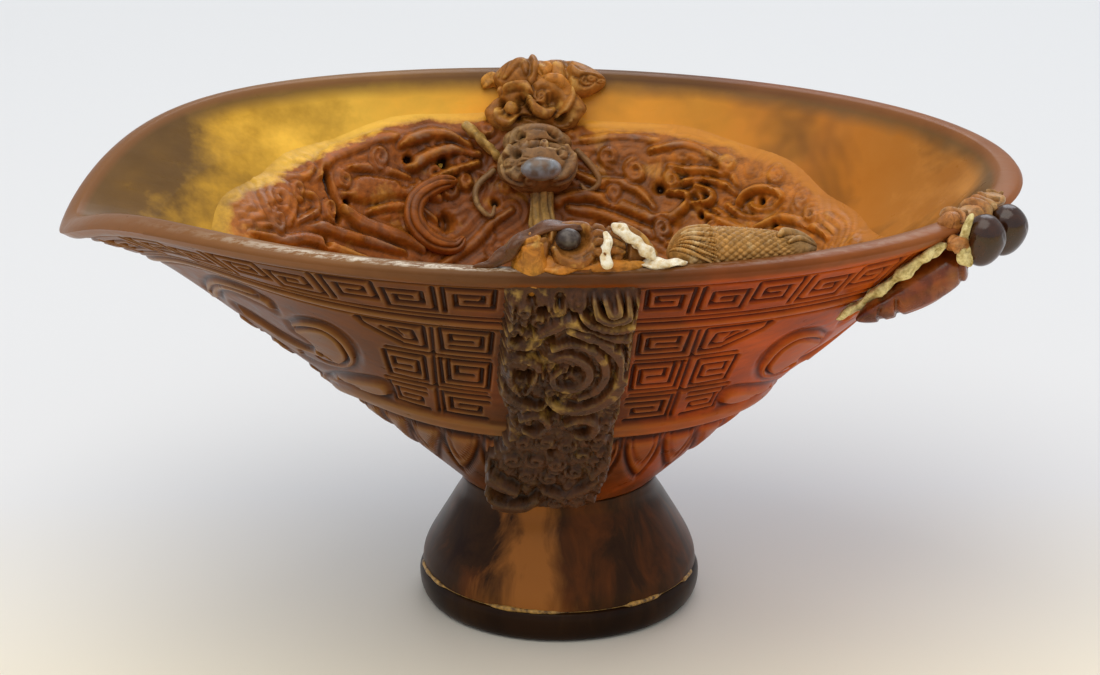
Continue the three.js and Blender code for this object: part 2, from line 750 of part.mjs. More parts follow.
function finish(colour, roughness) {
  return new THREE.MeshStandardMaterial({ color: colour, roughness, metalness: 0 });
}

const brown_horn = finish(0x6b3f1c, 0.38);
const red_horn = finish(0x7a3c1a, 0.42);
const dark_horn = finish(0x2a1a12, 0.35);
const carved_horn = finish(0x4a2f1c, 0.5);
const yellow_horn = finish(0xc99a3e, 0.4);
const adhesive = finish(0xe6d394, 0.6);
const gold_adhesive = finish(0xb98a42, 0.5);
const slate_bead = finish(0x3f4654, 0.25);

const pieces = {
  bowl: [bowl, brown_horn],
  cloud_bed: [cloud_bed, red_horn],
  neck_dowel: [neck_dowel, dark_horn],
  foot: [foot, brown_horn],
  foot_base: [foot_base, dark_horn],
  foot_seam_bead: [foot_seam_bead, gold_adhesive],
  front_flange: [front_flange, carved_horn],
  back_flange: [back_flange, carved_horn],
  front_crest: [front_crest, carved_horn],
  front_crest_bead: [front_crest_bead, slate_bead],
  front_crest_filler: [front_crest_filler, adhesive],
  rim_dragon_body: [rim_dragon_body, carved_horn],
  back_crest: [back_crest, carved_horn],
  centre_head: [centre_head, carved_horn],
  centre_pearl: [centre_pearl, slate_bead],
  centre_pillar: [centre_pillar, yellow_horn],
  whisker_left: [whisker_left, carved_horn],
  whisker_right: [whisker_right, carved_horn],
  horn_rod: [horn_rod, yellow_horn],
  cloud_curl: [cloud_curl, red_horn],
  handle: [handle, red_horn],
  handle_knob_near: [handle_knob_near, dark_horn],
  handle_knob_far: [handle_knob_far, dark_horn],
  handle_collar: [handle_collar, carved_horn],
  handle_filler: [handle_filler, adhesive],
};

const cup = new THREE.Group();
for (const [name, [geometry, material]] of Object.entries(pieces)) {
  const mesh = new THREE.Mesh(geometry, material);
  mesh.name = name;
  mesh.geometry.computeVertexNormals();
  cup.add(mesh);
}

export default cup;
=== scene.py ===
# %% [markdown]
# # A carved horn libation cup
#
# The cup is one boat-shaped bowl of carved buffalo horn on a turned horn foot.
# Its outside carries a fret band, squared thunder spirals and large scrolls.
# Its inside is lined with deeply cut clouds, and dragon heads climb over the rim.
# Every surface here is a function of two parameters, worked out with numpy.
# The CAD model gives the size and place of each piece, and this script dresses it.

# %% Load the frame
import math
from functools import partial

import bpy
import numpy as np
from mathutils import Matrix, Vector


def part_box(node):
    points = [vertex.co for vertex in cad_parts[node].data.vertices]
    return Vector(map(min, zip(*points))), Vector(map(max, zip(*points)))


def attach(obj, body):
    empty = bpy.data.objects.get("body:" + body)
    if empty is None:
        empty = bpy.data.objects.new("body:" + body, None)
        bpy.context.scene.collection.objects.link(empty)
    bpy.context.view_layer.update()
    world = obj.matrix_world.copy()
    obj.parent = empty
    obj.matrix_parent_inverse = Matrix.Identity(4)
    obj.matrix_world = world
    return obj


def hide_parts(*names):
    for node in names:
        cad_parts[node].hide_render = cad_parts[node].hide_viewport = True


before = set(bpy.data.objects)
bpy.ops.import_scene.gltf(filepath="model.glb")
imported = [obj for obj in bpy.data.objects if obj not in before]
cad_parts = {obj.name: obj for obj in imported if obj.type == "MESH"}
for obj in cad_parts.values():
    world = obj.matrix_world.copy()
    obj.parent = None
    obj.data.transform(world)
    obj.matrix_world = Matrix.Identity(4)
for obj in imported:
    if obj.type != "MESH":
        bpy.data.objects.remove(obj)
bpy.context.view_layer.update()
MM = 0.001

# %% [markdown]
# ## Camera
#
# The photograph was taken with a long lens from a little above the rim, about two
# degrees towards the spout. A long lens keeps the ellipse of the rim flat, so the
# distance and the focal length were matched together to the rim and the foot.

# %% Camera
image_width = 1100
camera_distance = 0.9
camera_elevation = math.radians(21.3)
camera_azimuth = math.radians(-2)
camera_target = np.array([-2.1365, 0, 48.4858]) * MM
focal_pixels = 5071.5
sensor_width = 36

camera_data = bpy.data.cameras.new("studio_camera")
camera_data.sensor_width = sensor_width
camera_data.lens = focal_pixels / image_width * sensor_width
camera_data.clip_end = 20
camera = bpy.data.objects.new("studio_camera", camera_data)
towards_camera = np.array([
    math.sin(camera_azimuth) * math.cos(camera_elevation),
    -math.cos(camera_azimuth) * math.cos(camera_elevation),
    math.sin(camera_elevation),
])
camera.location = camera_target + camera_distance * towards_camera
camera.rotation_euler = (math.pi / 2 - camera_elevation, 0, camera_azimuth)
bpy.context.collection.objects.link(camera)
bpy.context.scene.camera = camera
bpy.context.scene.view_settings.view_transform = "Standard"
print("lens of", round(camera_data.lens, 1), "mm at", camera_distance, "m")

# %% [markdown]
# ## Helpers for materials
#
# Colours are picked as sRGB hex values, and Blender mixes light in linear values, so
# one function turns the first into the second. A second adds any node, sets its sockets
# and links it, which keeps each material short enough to read. A third starts a material
# with the place on the piece, which every finish here depends on.

# %% Colours and nodes
def linear(hex_colour, alpha=1):
    """Each sRGB channel c becomes ((c + 0.055) / 1.055) ** 2.4, or c / 12.92 near black."""
    channels = [int(hex_colour[place:place + 2], 16) / 255 for place in (0, 2, 4)]
    turned = [c / 12.92 if c <= 0.04045 else ((c + 0.055) / 1.055) ** 2.4 for c in channels]
    return (*turned, alpha)


def add_node(tree, kind, sockets=(), stops=(), **settings):
    """Adds a node with its settings and ramp stops, and fills or links its sockets.

    Sockets come in order or by name. A node stands for its first output, a hex for its colour.
    """
    node = tree.nodes.new("ShaderNode" + kind)
    for name, value in settings.items():
        setattr(node, name, value)
    if stops:
        ramp = node.color_ramp.elements
        while len(ramp) < len(stops):
            ramp.new(0.5)
        for element, (place, colour) in zip(ramp, stops):
            element.position, element.color = place, linear(colour)
    for name, value in (sockets if isinstance(sockets, dict) else dict(enumerate(sockets))).items():
        if isinstance(value, bpy.types.Node):
            value = value.outputs[0]
        if isinstance(value, bpy.types.NodeSocket):
            tree.links.new(value, node.inputs[name])
        else:
            node.inputs[name].default_value = linear(value) if isinstance(value, str) else value
    return node


def new_material(name):
    """An empty material, the function that adds nodes to it, and the place on the piece."""
    material = bpy.data.materials.new(name)
    material.use_nodes = True
    material.node_tree.nodes.clear()
    add = partial(add_node, material.node_tree)
    return material, add, add("TexCoord").outputs["Object"]


print("white becomes", linear("FFFFFF"))

# %% [markdown]
# ## Stage and light
#
# The cup stood on a pale sheet that turns up behind it, warm near the viewer and cool
# and white further away. The sheet is one profile carried sideways. The light is soft:
# a bright even sky, one large lamp over the left shoulder and a smaller one behind,
# which gives the rim its pale glints.
# Pale flecks painted on the near lip add painted glints to it.

# %% Backdrop sheet
def backdrop_sheet(half_width, near, far, height, steps):
    """A flat run from near to far, then a quarter circle that turns up into a wall."""
    angle = np.linspace(0, math.pi / 2, steps)
    turn = np.stack([far + height * np.sin(angle), height * (1 - np.cos(angle))], -1)
    profile = np.concatenate([[[near, 0]], turn, [[far + height, 3 * height]]])
    left = np.column_stack([np.full(len(profile), -half_width), profile])
    right = np.column_stack([np.full(len(profile), half_width), profile])
    points = np.concatenate([left, right])
    first = np.arange(len(profile) - 1)
    quads = np.stack([first, first + len(profile), first + len(profile) + 1, first + 1], -1)
    mesh = bpy.data.meshes.new("backdrop")
    mesh.from_pydata(points.tolist(), [], quads.tolist())
    mesh.shade_smooth()
    return mesh


sheet, add, place = new_material("matt_paper_backdrop")
parts = add("SeparateXYZ", [place]).outputs
from_front = add("MapRange", [parts["Y"], -0.25, 0.45])
tint = add("ValToRGB", [from_front], [
    (0.1, "FCEABE"), (0.27, "F9F0D9"), (0.42, "E8E9EA"), (1, "DCDEDF")])
add("OutputMaterial", [add("BsdfDiffuse", [tint])])

sheet_half_width, sheet_near, sheet_far, sheet_rise, sheet_steps = 3, -2, 1.6, 1.2, 24
floor = bpy.data.objects.new("backdrop", backdrop_sheet(
    sheet_half_width, sheet_near, sheet_far, sheet_rise, sheet_steps))
floor.data.materials.append(sheet)
bpy.context.collection.objects.link(floor)
print("backdrop sheet with", len(floor.data.polygons), "faces")

# %% [markdown]
# The shadows are faint and soft edged, so most light came from all round, and an even
# white sky is the plainest way to get it. The two wide lamps add the highlights.

# %% Sky and lamps
world = bpy.data.worlds.new("soft_studio")
world.use_nodes = True
bpy.context.scene.world = world
sky = world.node_tree.nodes["Background"]
sky.inputs["Color"].default_value = linear("F4F6FA")
sky.inputs["Strength"].default_value = 0.66


def soft_lamp(name, place, aim, size, power, colour):
    """A square lamp at a place, turned to face its aim."""
    data = bpy.data.lights.new(name, "AREA")
    data.size = size
    data.energy = power
    data.color = linear(colour)[:3]
    lamp = bpy.data.objects.new(name, data)
    lamp.location = place
    aim_line = np.array(aim) - np.array(place)
    flat = math.hypot(aim_line[0], aim_line[1])
    heading = math.atan2(aim_line[1], aim_line[0])
    lamp.rotation_euler = (math.atan2(flat, -aim_line[2]), 0, heading - math.pi / 2)
    bpy.context.collection.objects.link(lamp)


soft_lamp("key_lamp", place=(-0.2, -0.25, 1.1), aim=(0, 0, 0.05), size=1.1, power=6.2,
          colour="FFF8EC")
soft_lamp("back_lamp", place=(0.25, 0.9, 0.9), aim=(0, 0, 0.06), size=0.8, power=5,
          colour="F2F6FF")
print("backdrop, sky and two lamps")

# %% [markdown]
# ## The wall of the cup
#
# Seen from above the rim is an ellipse, pinched in under the spout; seen from the side
# it droops at the spout. The wall runs straight from a round neck to that rim. So one
# function of a turn round the cup and a share of the way up gives every point of the
# wall, and all carving stands a few tenths of a millimetre in or out of it.

# %% Driving sizes, in millimetres
bowl_low, bowl_high = [np.array(corner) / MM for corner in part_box("bowl")]
rim_half_length = (bowl_high[0] - bowl_low[0]) / 2
rim_centre_x = (bowl_high[0] + bowl_low[0]) / 2
rim_half_width = (bowl_high[1] - bowl_low[1]) / 2
neck_height = bowl_low[2]
rim_height = 80.3
spout_droop = 11.8
handle_end_fall = 1.8
spout_pinch_share = 0.28
pinch_spread, droop_spread, elbow_spread = 30, 26, 45
elbow_place, elbow_rise, elbow_round = 0.76, 0.13, 0.05
neck_radius = 17.6
neck_centre_x = -0.5
wall = 3.6
lip_rise = 0.9
inner_top_share = 0.965
cavity_floor_share = 0.14
wall_run = 64.3
print("rim", rim_half_length, rim_half_width, "neck height", neck_height)

# %% [markdown]
# Every carved piece has to sit on this wall, so the wall is written once as a function
# of two numbers: the turn round the cup, and the share of the way up from neck to rim.

# %% The wall as a function
def swell(distance, spread):
    """One at the centre, fading as exp(-(distance / spread) squared)."""
    return np.exp(-(distance / spread) ** 2)


def mix(low, high, share):
    """Low at share 0, high at share 1, and in proportion between them."""
    return low + (high - low) * share


def wall_at(turn, share):
    """Straight up from the neck circle to the rim ellipse, with an elbow under the spout."""
    turn, share = np.broadcast_arrays(np.asarray(turn, float), np.asarray(share, float))
    from_spout = np.degrees(np.abs(np.angle(np.exp(1j * (turn - math.pi)))))
    rim_x = rim_centre_x + rim_half_length * np.cos(turn)
    pinch = 1 - spout_pinch_share * swell(from_spout, pinch_spread)
    rim_y = rim_half_width * np.sin(turn) * pinch
    droop = spout_droop * swell(from_spout, droop_spread)
    rim_z = rim_height - droop - handle_end_fall * np.cos(turn)
    below, above = share / elbow_place, (1 - share) / (1 - elbow_place)
    elbow = (below + above - np.sqrt((below - above) ** 2 + elbow_round)) / 2
    rise = share + elbow_rise * swell(from_spout, elbow_spread) * elbow
    return np.stack([
        mix(neck_centre_x + neck_radius * np.cos(turn), rim_x, share),
        mix(neck_radius * np.sin(turn), rim_y, share),
        mix(neck_height, rim_z, rise),
    ], -1)


def unit(vectors):
    """Each vector divided by its length."""
    return vectors / np.maximum(np.linalg.norm(vectors, axis=-1, keepdims=True), 1e-12)


def once_round(steps):
    """Evenly spaced angles from 0 to just short of a full turn."""
    return np.linspace(0, 2 * math.pi, steps, endpoint=False)


def run_along(points):
    """Length from the first point to each point, on straight steps."""
    steps = np.linalg.norm(np.diff(points, axis=0), axis=-1)
    return np.concatenate([np.zeros((1, *steps.shape[1:])), np.cumsum(steps, axis=0)])


def wall_out(turn, share):
    """Outward direction: the cross product of two short steps along the wall."""
    step = 1e-4
    round_it = wall_at(turn + step, share) - wall_at(turn - step, share)
    up_it = wall_at(turn, share + step) - wall_at(turn, share - step)
    return unit(np.cross(round_it, up_it))


def off_wall(turn, share, distance):
    """The point at a distance out of the wall, or into it where the distance is negative."""
    distance = np.asarray(distance, float)
    return wall_at(turn, share) + wall_out(turn, share) * distance[..., None]


def turn_at_x(x, share, side):
    """The turn on the near (-1) or far (1) side at which the wall has a given x."""
    centre = mix(neck_centre_x, rim_centre_x, share)
    reach = mix(neck_radius, rim_half_length, share)
    return side * np.arccos(np.clip((np.asarray(x, float) - centre) / reach, -1, 1))


turn_table = np.linspace(0, 2 * math.pi, 2881)


def arc_round(share):
    """Length of the wall's ring at one share, from turn 0 to each turn of the table."""
    return run_along(wall_at(turn_table, share))


print("the rim measures", round(arc_round(1.0)[-1]), "mm round")

# %% [markdown]
# ## From arrays to pieces
#
# Each piece is a grid of points that closes on itself one way, like a sleeve. Its two
# ends are closed by a flat face or by a pole. A signed volume tells if the faces point
# inwards, and then they are turned round. Two numbers travel with each point: how deep
# it lies in the carving, and how much it belongs to the inside of the cup.

# %% Mesh helpers
corner_angle = math.radians(78)


def grid_quads(rows, columns, round_rows=False, round_columns=False):
    """Four-sided faces between neighbouring rows and columns of a grid of points."""
    row = np.arange(rows if round_rows else rows - 1)[:, None]
    column = np.arange(columns if round_columns else columns - 1)[None, :]
    row, column = np.broadcast_arrays(row, column)
    next_row, next_column = (row + 1) % rows, (column + 1) % columns
    corners = [(row, column), (next_row, column), (next_row, next_column), (row, next_column)]
    return np.stack([a * columns + b for a, b in corners], -1).reshape(-1, 4)


def signed_volume(points, faces):
    """Sum over face fans of a . (b x c), which is positive where faces point outwards."""
    total = 0.0
    for group in faces:
        a = points[group[:, 0]]
        for corner in range(1, group.shape[1] - 1):
            b, c = points[group[:, corner]], points[group[:, corner + 1]]
            total += np.einsum("ij,ij->", a, np.cross(b, c))
    return total


def dress(name, points, faces, finish, fields=None, flat_from=None):
    """Makes the mesh from millimetre arrays, gives it its finish and seats it on the frame.

    A finish is a material, a slot name that is not used, and the CAD nodes that the piece stands
    for.
    """
    material, slot, nodes = finish
    if signed_volume(points, faces) < 0:
        faces = [group[:, ::-1] for group in faces]
    mesh = bpy.data.meshes.new(name)
    mesh.vertices.add(len(points))
    mesh.vertices.foreach_set("co", (points * MM).astype(np.float32).ravel())
    totals = np.concatenate([np.full(len(group), group.shape[1]) for group in faces])
    mesh.loops.add(int(totals.sum()))
    corners = np.concatenate([group.ravel() for group in faces])
    mesh.loops.foreach_set("vertex_index", corners.astype(np.int32))
    mesh.polygons.add(len(totals))
    starts = np.concatenate([[0], np.cumsum(totals)[:-1]]).astype(np.int32)
    mesh.polygons.foreach_set("loop_start", starts)
    smooth = np.ones(len(totals), bool)
    if flat_from is not None:
        smooth[flat_from:] = False
    mesh.polygons.foreach_set("use_smooth", smooth)
    mesh.update(calc_edges=True)
    mesh.set_sharp_from_angle(angle=corner_angle)
    for field, values in (fields or {}).items():
        layer = mesh.attributes.new(field, "FLOAT", "POINT")
        layer.data.foreach_set("value", np.asarray(values, np.float32).ravel())
    mesh.materials.append(material)
    piece = bpy.data.objects.new(name, mesh)
    bpy.context.collection.objects.link(piece)
    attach(piece, "root")
    if nodes:
        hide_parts(*nodes)
    print(name, "has", int((totals - 2).sum()), "triangles")
    return piece


def sleeve(name, loops, finish, fields=None, poles=True):
    """A body from closed loops of points; its ends meet in poles or are flat faces."""
    count, around = loops.shape[:2]
    points = loops.reshape(-1, 3)
    faces = [grid_quads(count, around, round_columns=True)]
    last = (count - 1) * around
    place = np.arange(around)
    values = {key: np.asarray(value, float).reshape(count, around)
              for key, value in (fields or {}).items()}
    flat_from = None
    if poles:
        points = np.concatenate([points, loops[0].mean(0)[None], loops[-1].mean(0)[None]])
        hub = count * around
        faces.append(np.stack([np.full(around, hub), (place + 1) % around, place], -1))
        faces.append(np.stack([
            np.full(around, hub + 1), last + place, last + (place + 1) % around], -1))
        values = {key: np.concatenate([value.ravel(), [value[0].mean(), value[-1].mean()]])
                  for key, value in values.items()}
    else:
        flat_from = len(faces[0])
        faces.append(place[None, ::-1])
        faces.append(last + place[None, :])
    return dress(name, points, faces, finish, values, flat_from)

# %% [markdown]
# ## The carver's strokes
#
# A carved face is a flat plan in real millimetres, across and up, that is later wrapped
# on the wall. The carver's work is a list of strokes on that plan: a groove, a rounded
# band laid over what is there, a raised field with an edge, or a drilled pit. Each one
# only asks how far a place is from the stroke's line.

# %% Paths
def soft_step(value, low, high):
    """A smooth climb from 0 at low to 1 at high: 3 t squared minus 2 t cubed."""
    t = np.clip((value - low) / (high - low), 0, 1)
    return t * t * (3 - 2 * t)


def through(points, steps=8):
    """A smooth path through points: Catmull-Rom pieces with a few steps each."""
    points = np.asarray(points, float)
    ends = np.concatenate([[2 * points[0] - points[1]], points, [2 * points[-1] - points[-2]]])
    p0, p1, p2, p3 = ends[:-3, None], ends[1:-2, None], ends[2:-1, None], ends[3:, None]
    t = np.linspace(0, 1, steps, endpoint=False)[None, :, None]
    path = 0.5 * (2 * p1 + (p2 - p0) * t + (2 * p0 - 5 * p1 + 4 * p2 - p3) * t ** 2
                  + (3 * p1 - p0 - 3 * p2 + p3) * t ** 3)
    return np.concatenate([path.reshape(-1, points.shape[1]), points[-1:]])


def spiral(centre, outer, inner, turns, start, hand=1, steps=14):
    """Radius falls evenly from outer to inner while the angle runs on by the turns."""
    share = np.linspace(0, 1, int(steps * turns) + 2)
    angle = np.radians(start) + hand * 2 * math.pi * turns * share
    radius = mix(outer, inner, share)
    return np.array(centre) + np.stack([radius * np.cos(angle), radius * np.sin(angle)], -1)


print("a path through 3 points takes", len(through([(0, 0), (1, 1), (2, 0)])), "places")

# %% [markdown]
# A gouge leaves a groove with sloping sides, and a band is rounded off and freed by a
# narrow cut beside it. So each stroke is one section, as a function of the distance
# from its path, and it is laid over whatever was carved before.

# %% Strokes
class Carving:
    """A height in millimetres over a plan, worked stroke by stroke."""

    def __init__(self, across, up):
        """A flat plan, from each place's millimetres across and up."""
        self.across, self.up = across, up
        self.height = np.zeros(across.shape)

    def near(self, path, reach):
        """The places close to a path, how far off it each lies and how far along it."""
        path = np.asarray(path, float)
        low, high = path.min(0) - reach, path.max(0) + reach
        close = np.nonzero((self.across > low[0]) & (self.across < high[0])
                           & (self.up > low[1]) & (self.up < high[1]))
        x, y = self.across[close], self.up[close]
        best, along = np.full(x.shape, np.inf), np.zeros(x.shape)
        for step, (start, end) in enumerate(zip(path[:-1], path[1:])):
            run = end - start
            t = ((x - start[0]) * run[0] + (y - start[1]) * run[1]) / max(run @ run, 1e-12)
            t = np.clip(t, 0, 1)
            off = np.hypot(x - start[0] - t * run[0], y - start[1] - t * run[1])
            closer = off < best
            best[closer] = off[closer]
            along[closer] = (step + t[closer]) / (len(path) - 1)
        return close, best, along

    def groove(self, path, half_width, depth):
        """A cut with sloping sides, deepest along its line."""
        close, off, _ = self.near(path, 2 * half_width)
        self.height[close] -= depth * (1 - soft_step(off / half_width, 0.35, 1.3))

    def band(self, path, widths, level, proud, moat=0.5, cut=0.5):
        """A rounded band over what is there, with a narrow cut beside it."""
        reach = max(widths) + moat
        close, off, along = self.near(path, reach)
        half = np.maximum(np.interp(along, np.linspace(0, 1, len(widths)), widths), 0.02)
        share = off / half
        here = self.height[close]
        dome = level + proud * np.sqrt(np.clip(1 - share ** 2, 0, 1))
        ditch = np.minimum(here, level - cut * (1 - np.clip((off - half) / moat, 0, 1)))
        self.height[close] = np.where(share < 1, dome, np.where(off < half + moat, ditch, here))

    def field(self, outline, edge, proud, moat, cut):
        """A raised field inside a closed outline, with a sloping moat outside it."""
        outline = np.concatenate([outline, outline[:1]])
        close, off, _ = self.near(outline, moat)
        x, y = self.across[close], self.up[close]
        inside = np.zeros(x.shape, bool)
        for (x0, y0), (x1, y1) in zip(outline[:-1], outline[1:]):
            crosses = (y0 > y) != (y1 > y)
            slope = (x1 - x0) / (y1 - y0) if y1 != y0 else 0.0
            inside ^= crosses & (x < x0 + (y - y0) * slope)
        rise = soft_step(off, 0, edge)
        sunk = np.minimum(self.height[close], -cut * (1 - soft_step(off, 0, moat)))
        self.height[close] = np.where(inside, mix(-cut, proud, rise), sunk)

    def pit(self, centre, radius, depth):
        """A drilled hole with a rounded floor."""
        path = np.array([centre, np.array(centre) + [0.01, 0]])
        close, off, _ = self.near(path, 1.5 * radius)
        self.height[close] -= depth * (1 - soft_step(off / radius, 0.4, 1.25))


print("strokes ready: groove, band, field and pit")

# %% [markdown]
# Stain settles where the carving is deep, darkened further there as painted shade, and hands
# polish what stands high, which also carries a painted highlight. A place is deep where it
# lies below the average of its surroundings, so a blur tells it.

# %% Depth
def blur(values, passes):
    """Each pass mixes a place with its four neighbours; edges repeat."""
    for _ in range(passes):
        padded = np.pad(values, 1, mode="edge")
        values = (2 * values + padded[2:, 1:-1] + padded[:-2, 1:-1]
                  + padded[1:-1, 2:] + padded[1:-1, :-2]) / 6
    return values


def depth_field(height, passes, gain):
    """0 in crevices, 0.5 on even ground and 1 on high spots, from height minus its blur."""
    return np.clip(0.5 + gain * (height - blur(height, passes)), 0, 1)


print("a flat place has depth", depth_field(np.zeros((3, 3)), 2, 0.5)[1, 1])

# %% [markdown]
# ## Bands of pattern on the outside
#
# From the rim down there is a plain lip, a fret band between incised lines, a plain
# ridge, the main zone with thunder spirals beside each flange and a great scroll
# beyond them, a thick ridge, and a low row of lappets. The plan's across is measured
# from the middle of the flange, so both sides of the cup share one design.

# %% Sizes of the outside carving
flange_half_width = 11.6
flange_drift = 3.6
fret_top, fret_bottom = 60.0, 53.4
fret_units = 9
fret_start = 12.4
column_one = (12.5, 21.6)
column_gap = 23.0
column_two = (24.4, 31.6)
row_edges = [(42.0, 48.0), (31.9, 39.3), (23.4, 29.6)]
row_overhang = (5.0, 0.0, 0.0)
lower_ridge = (19.6, 22.6)
groove_half = 0.44
groove_depth = 0.75
fret_pitch, fret_left, fret_right = 10, 0.4, 8.8
fret_path = [(0, 1), (0, 0), (1, 0), (1, 0.76), (0.24, 0.76), (0.24, 0.28), (0.78, 0.28),
             (0.78, 0.52), (0.46, 0.52)]
fret_twin = [(1 - u, 1 - v) for u, v in fret_path]
ring_lines = ((61.0, 0.3, 0.5), (52.2, 0.34, 0.6), (51.1, 0.3, 0.5), (49.1, 0.36, 0.6))
seam_up = 51.1


def in_cell(path, corners):
    """Carries a path on the unit square into a four-cornered cell, evenly each way."""
    path = np.asarray(path, float)
    (x0, y0), (x1, y1), (x2, y2), (x3, y3) = corners
    u, v = path[:, 0], path[:, 1]
    x = (1 - v) * mix(x0, x1, u) + v * mix(x3, x2, u)
    y = (1 - v) * mix(y0, y1, u) + v * mix(y3, y2, u)
    return np.stack([x, y], -1)


spiral_closed = [
    [(0, 0), (1, 0), (1, 1), (0, 1), (0, 0)],
    [(0.2, 0.24), (0.82, 0.24), (0.82, 0.76), (0.2, 0.76), (0.2, 0.46), (0.62, 0.5)],
]
spiral_open = [
    [(0, 1), (0, 0), (1, 0), (1, 0.9)],
    [(0, 1), (0.16, 1), (0.16, 0.2), (0.84, 0.2), (0.84, 0.78), (0.33, 0.78), (0.33, 0.5),
     (0.66, 0.5)],
    [(0.16, 1), (1, 1)],
]
spiral_low = [
    [(1, 1), (0.02, 1), (0, 0), (1, 0)],
    [(1, 0.76), (0.2, 0.76), (0.2, 0.24), (0.84, 0.24), (0.84, 0.5), (0.42, 0.5)],
]
spiral_cut = [
    [(0, 0.7), (0.42, 0), (1, 0), (1, 1), (0.02, 1), (0, 0.7)],
    [(0.3, 0.72), (0.52, 0.24), (0.8, 0.24), (0.8, 0.74), (0.46, 0.74), (0.56, 0.48)],
]
print("outside plan:", fret_units, "fret units a quarter,", len(row_edges), "rows of spirals")

# %% [markdown]
# The carver would have drawn the design on the horn first and cut it band by band. This
# plan does the same. It starts with the fret, whose units are stretched to fill what the
# quarter offers, and with the thunder spirals, which are fitted into slanting cells.

# %% Outside plan
def carve_outside(across, share, end_across):
    """The fret and the spirals of one quarter; across runs from the flange's middle."""
    up = share * wall_run
    plan = Carving(across, up)
    fret_run = (across - fret_start) / (end_across - fret_start) * fret_units
    fret = Carving(fret_run * fret_pitch, up)
    for index in range(fret_units):
        left, right = fret_pitch * index + fret_left, fret_pitch * index + fret_right
        path = fret_path if index % 2 else fret_twin
        corners = [(left, fret_bottom), (right, fret_bottom), (right, fret_top), (left, fret_top)]
        fret.groove(in_cell(path, corners), 1.15 * groove_half, groove_depth)
    plan.height += np.where(across > fret_start - 1, fret.height, 0)
    for row, (low, high) in enumerate(row_edges):
        lean = 0.06 * (high - 47)
        start, end = column_one[0] + lean / 2, column_one[1] + lean
        corners = [(end - 0.9, low), (start, low), (start, high), (end, high)]
        for path in (spiral_closed, spiral_open, spiral_low)[row]:
            plan.groove(in_cell(path, corners), groove_half, groove_depth)
        start, end = column_two[0] + lean, column_two[1] + lean
        far_top = end + row_overhang[row]
        corners = [(end - 1.4, low + 0.3), (start - 0.9, low), (start, high), (far_top, high)]
        for path in (spiral_cut, spiral_closed, spiral_low)[row]:
            plan.groove(in_cell(path, corners), groove_half, groove_depth)
        if row:
            line = [(column_one[0], high + 1.1), (column_two[1] - 1, high + 1.3)]
            plan.groove(line, groove_half, groove_depth)
    lean_line = [(column_gap, row_edges[0][1]), (column_gap - 2.4, row_edges[-1][0])]
    plan.groove(lean_line, 0.4, 0.6)
    return plan, up


print("spirals fill", round(column_two[1] - column_one[0], 1), "mm beside each flange")

# %% [markdown]
# The great scroll is a raised field with a line cut inside its edge, which gives it a
# double outline. The outline is a smooth path through places on the plan.

# %% Scrolls
scroll_outline = through([
    (50.8, 38.9), (47.4, 41.8), (43.0, 42.8), (39.6, 41.2), (37.4, 38.2), (36.5, 34.4),
    (37.3, 31.0), (40.0, 28.2), (44.6, 26.9), (50.0, 27.2), (56.5, 29.6), (63.5, 34.5),
    (67.5, 39.0), (62.5, 37.0), (56.0, 33.6), (51.0, 31.9), (47.6, 31.6), (46.4, 33.2),
    (47.6, 35.2), (50.4, 36.6)], 5)
scroll_line = through([
    (49.8, 37.8), (46.2, 40.0), (42.9, 40.7), (40.3, 39.0), (38.9, 36.2), (38.3, 33.4),
    (39.4, 30.9), (41.6, 29.2), (44.8, 28.6), (47.0, 29.2)])
scroll_eye = through([(45.6, 31.9), (44.4, 31.9), (42.6, 30.9), (42.3, 30.2), (43.8, 30.4),
                      (45.6, 31.9)])
lobe_outline = through([
    (50.5, 21.9), (44.5, 24.6), (38.0, 27.2), (32.5, 28.9), (30.0, 27.6), (29.8, 24.6),
    (33.0, 22.7), (40.0, 22.4), (46.0, 21.9)], 5)
lobe_slot = through([(43.5, 23.4), (40.0, 24.0), (37.5, 24.4)])
far_scroll = through([
    (58.0, 46.6), (64.0, 46.8), (70.0, 45.8), (74.5, 43.2), (75.0, 40.4), (71.5, 40.2),
    (68.5, 42.4), (63.0, 43.4), (56.5, 42.6), (53.0, 41.6), (53.8, 44.8)], 5)


def carve_scrolls(plan):
    """The great scroll with its double outline and eye, the lobe below and the tail beyond."""
    plan.field(scroll_outline, 1.0, 0.45, 2.0, 0.45)
    plan.groove(scroll_line, 0.5, 1.0)
    plan.groove(scroll_eye, 0.42, 0.9)
    plan.field(lobe_outline, 1.8, 0.7, 1.5, 0.5)
    plan.groove(lobe_slot, 0.4, 0.8)
    plan.field(far_scroll, 1.0, 0.4, 1.6, 0.4)
    plan.groove(through([(56.5, 45.2), (62, 45.2), (68, 44.6), (72.6, 42.4)]), 0.32, 0.5)
    for centre, size, hand in (((55.5, 22.6), 2.6, 1), ((62, 28.5), 2.9, -1), ((70, 33.5), 3.2, 1)):
        plan.band(spiral(centre, size, 0.5, 1.6, 200, hand), [0.35, 0.75, 0.6], 0.1, 0.35, 0.5, 0.4)


print("scroll outline has", len(scroll_outline), "points")

# %% [markdown]
# Lines and ridges run right round the cup, so they depend on the height alone. Under
# the thick ridge hangs a row of leaves: one leaf, drawn again at an even pitch.

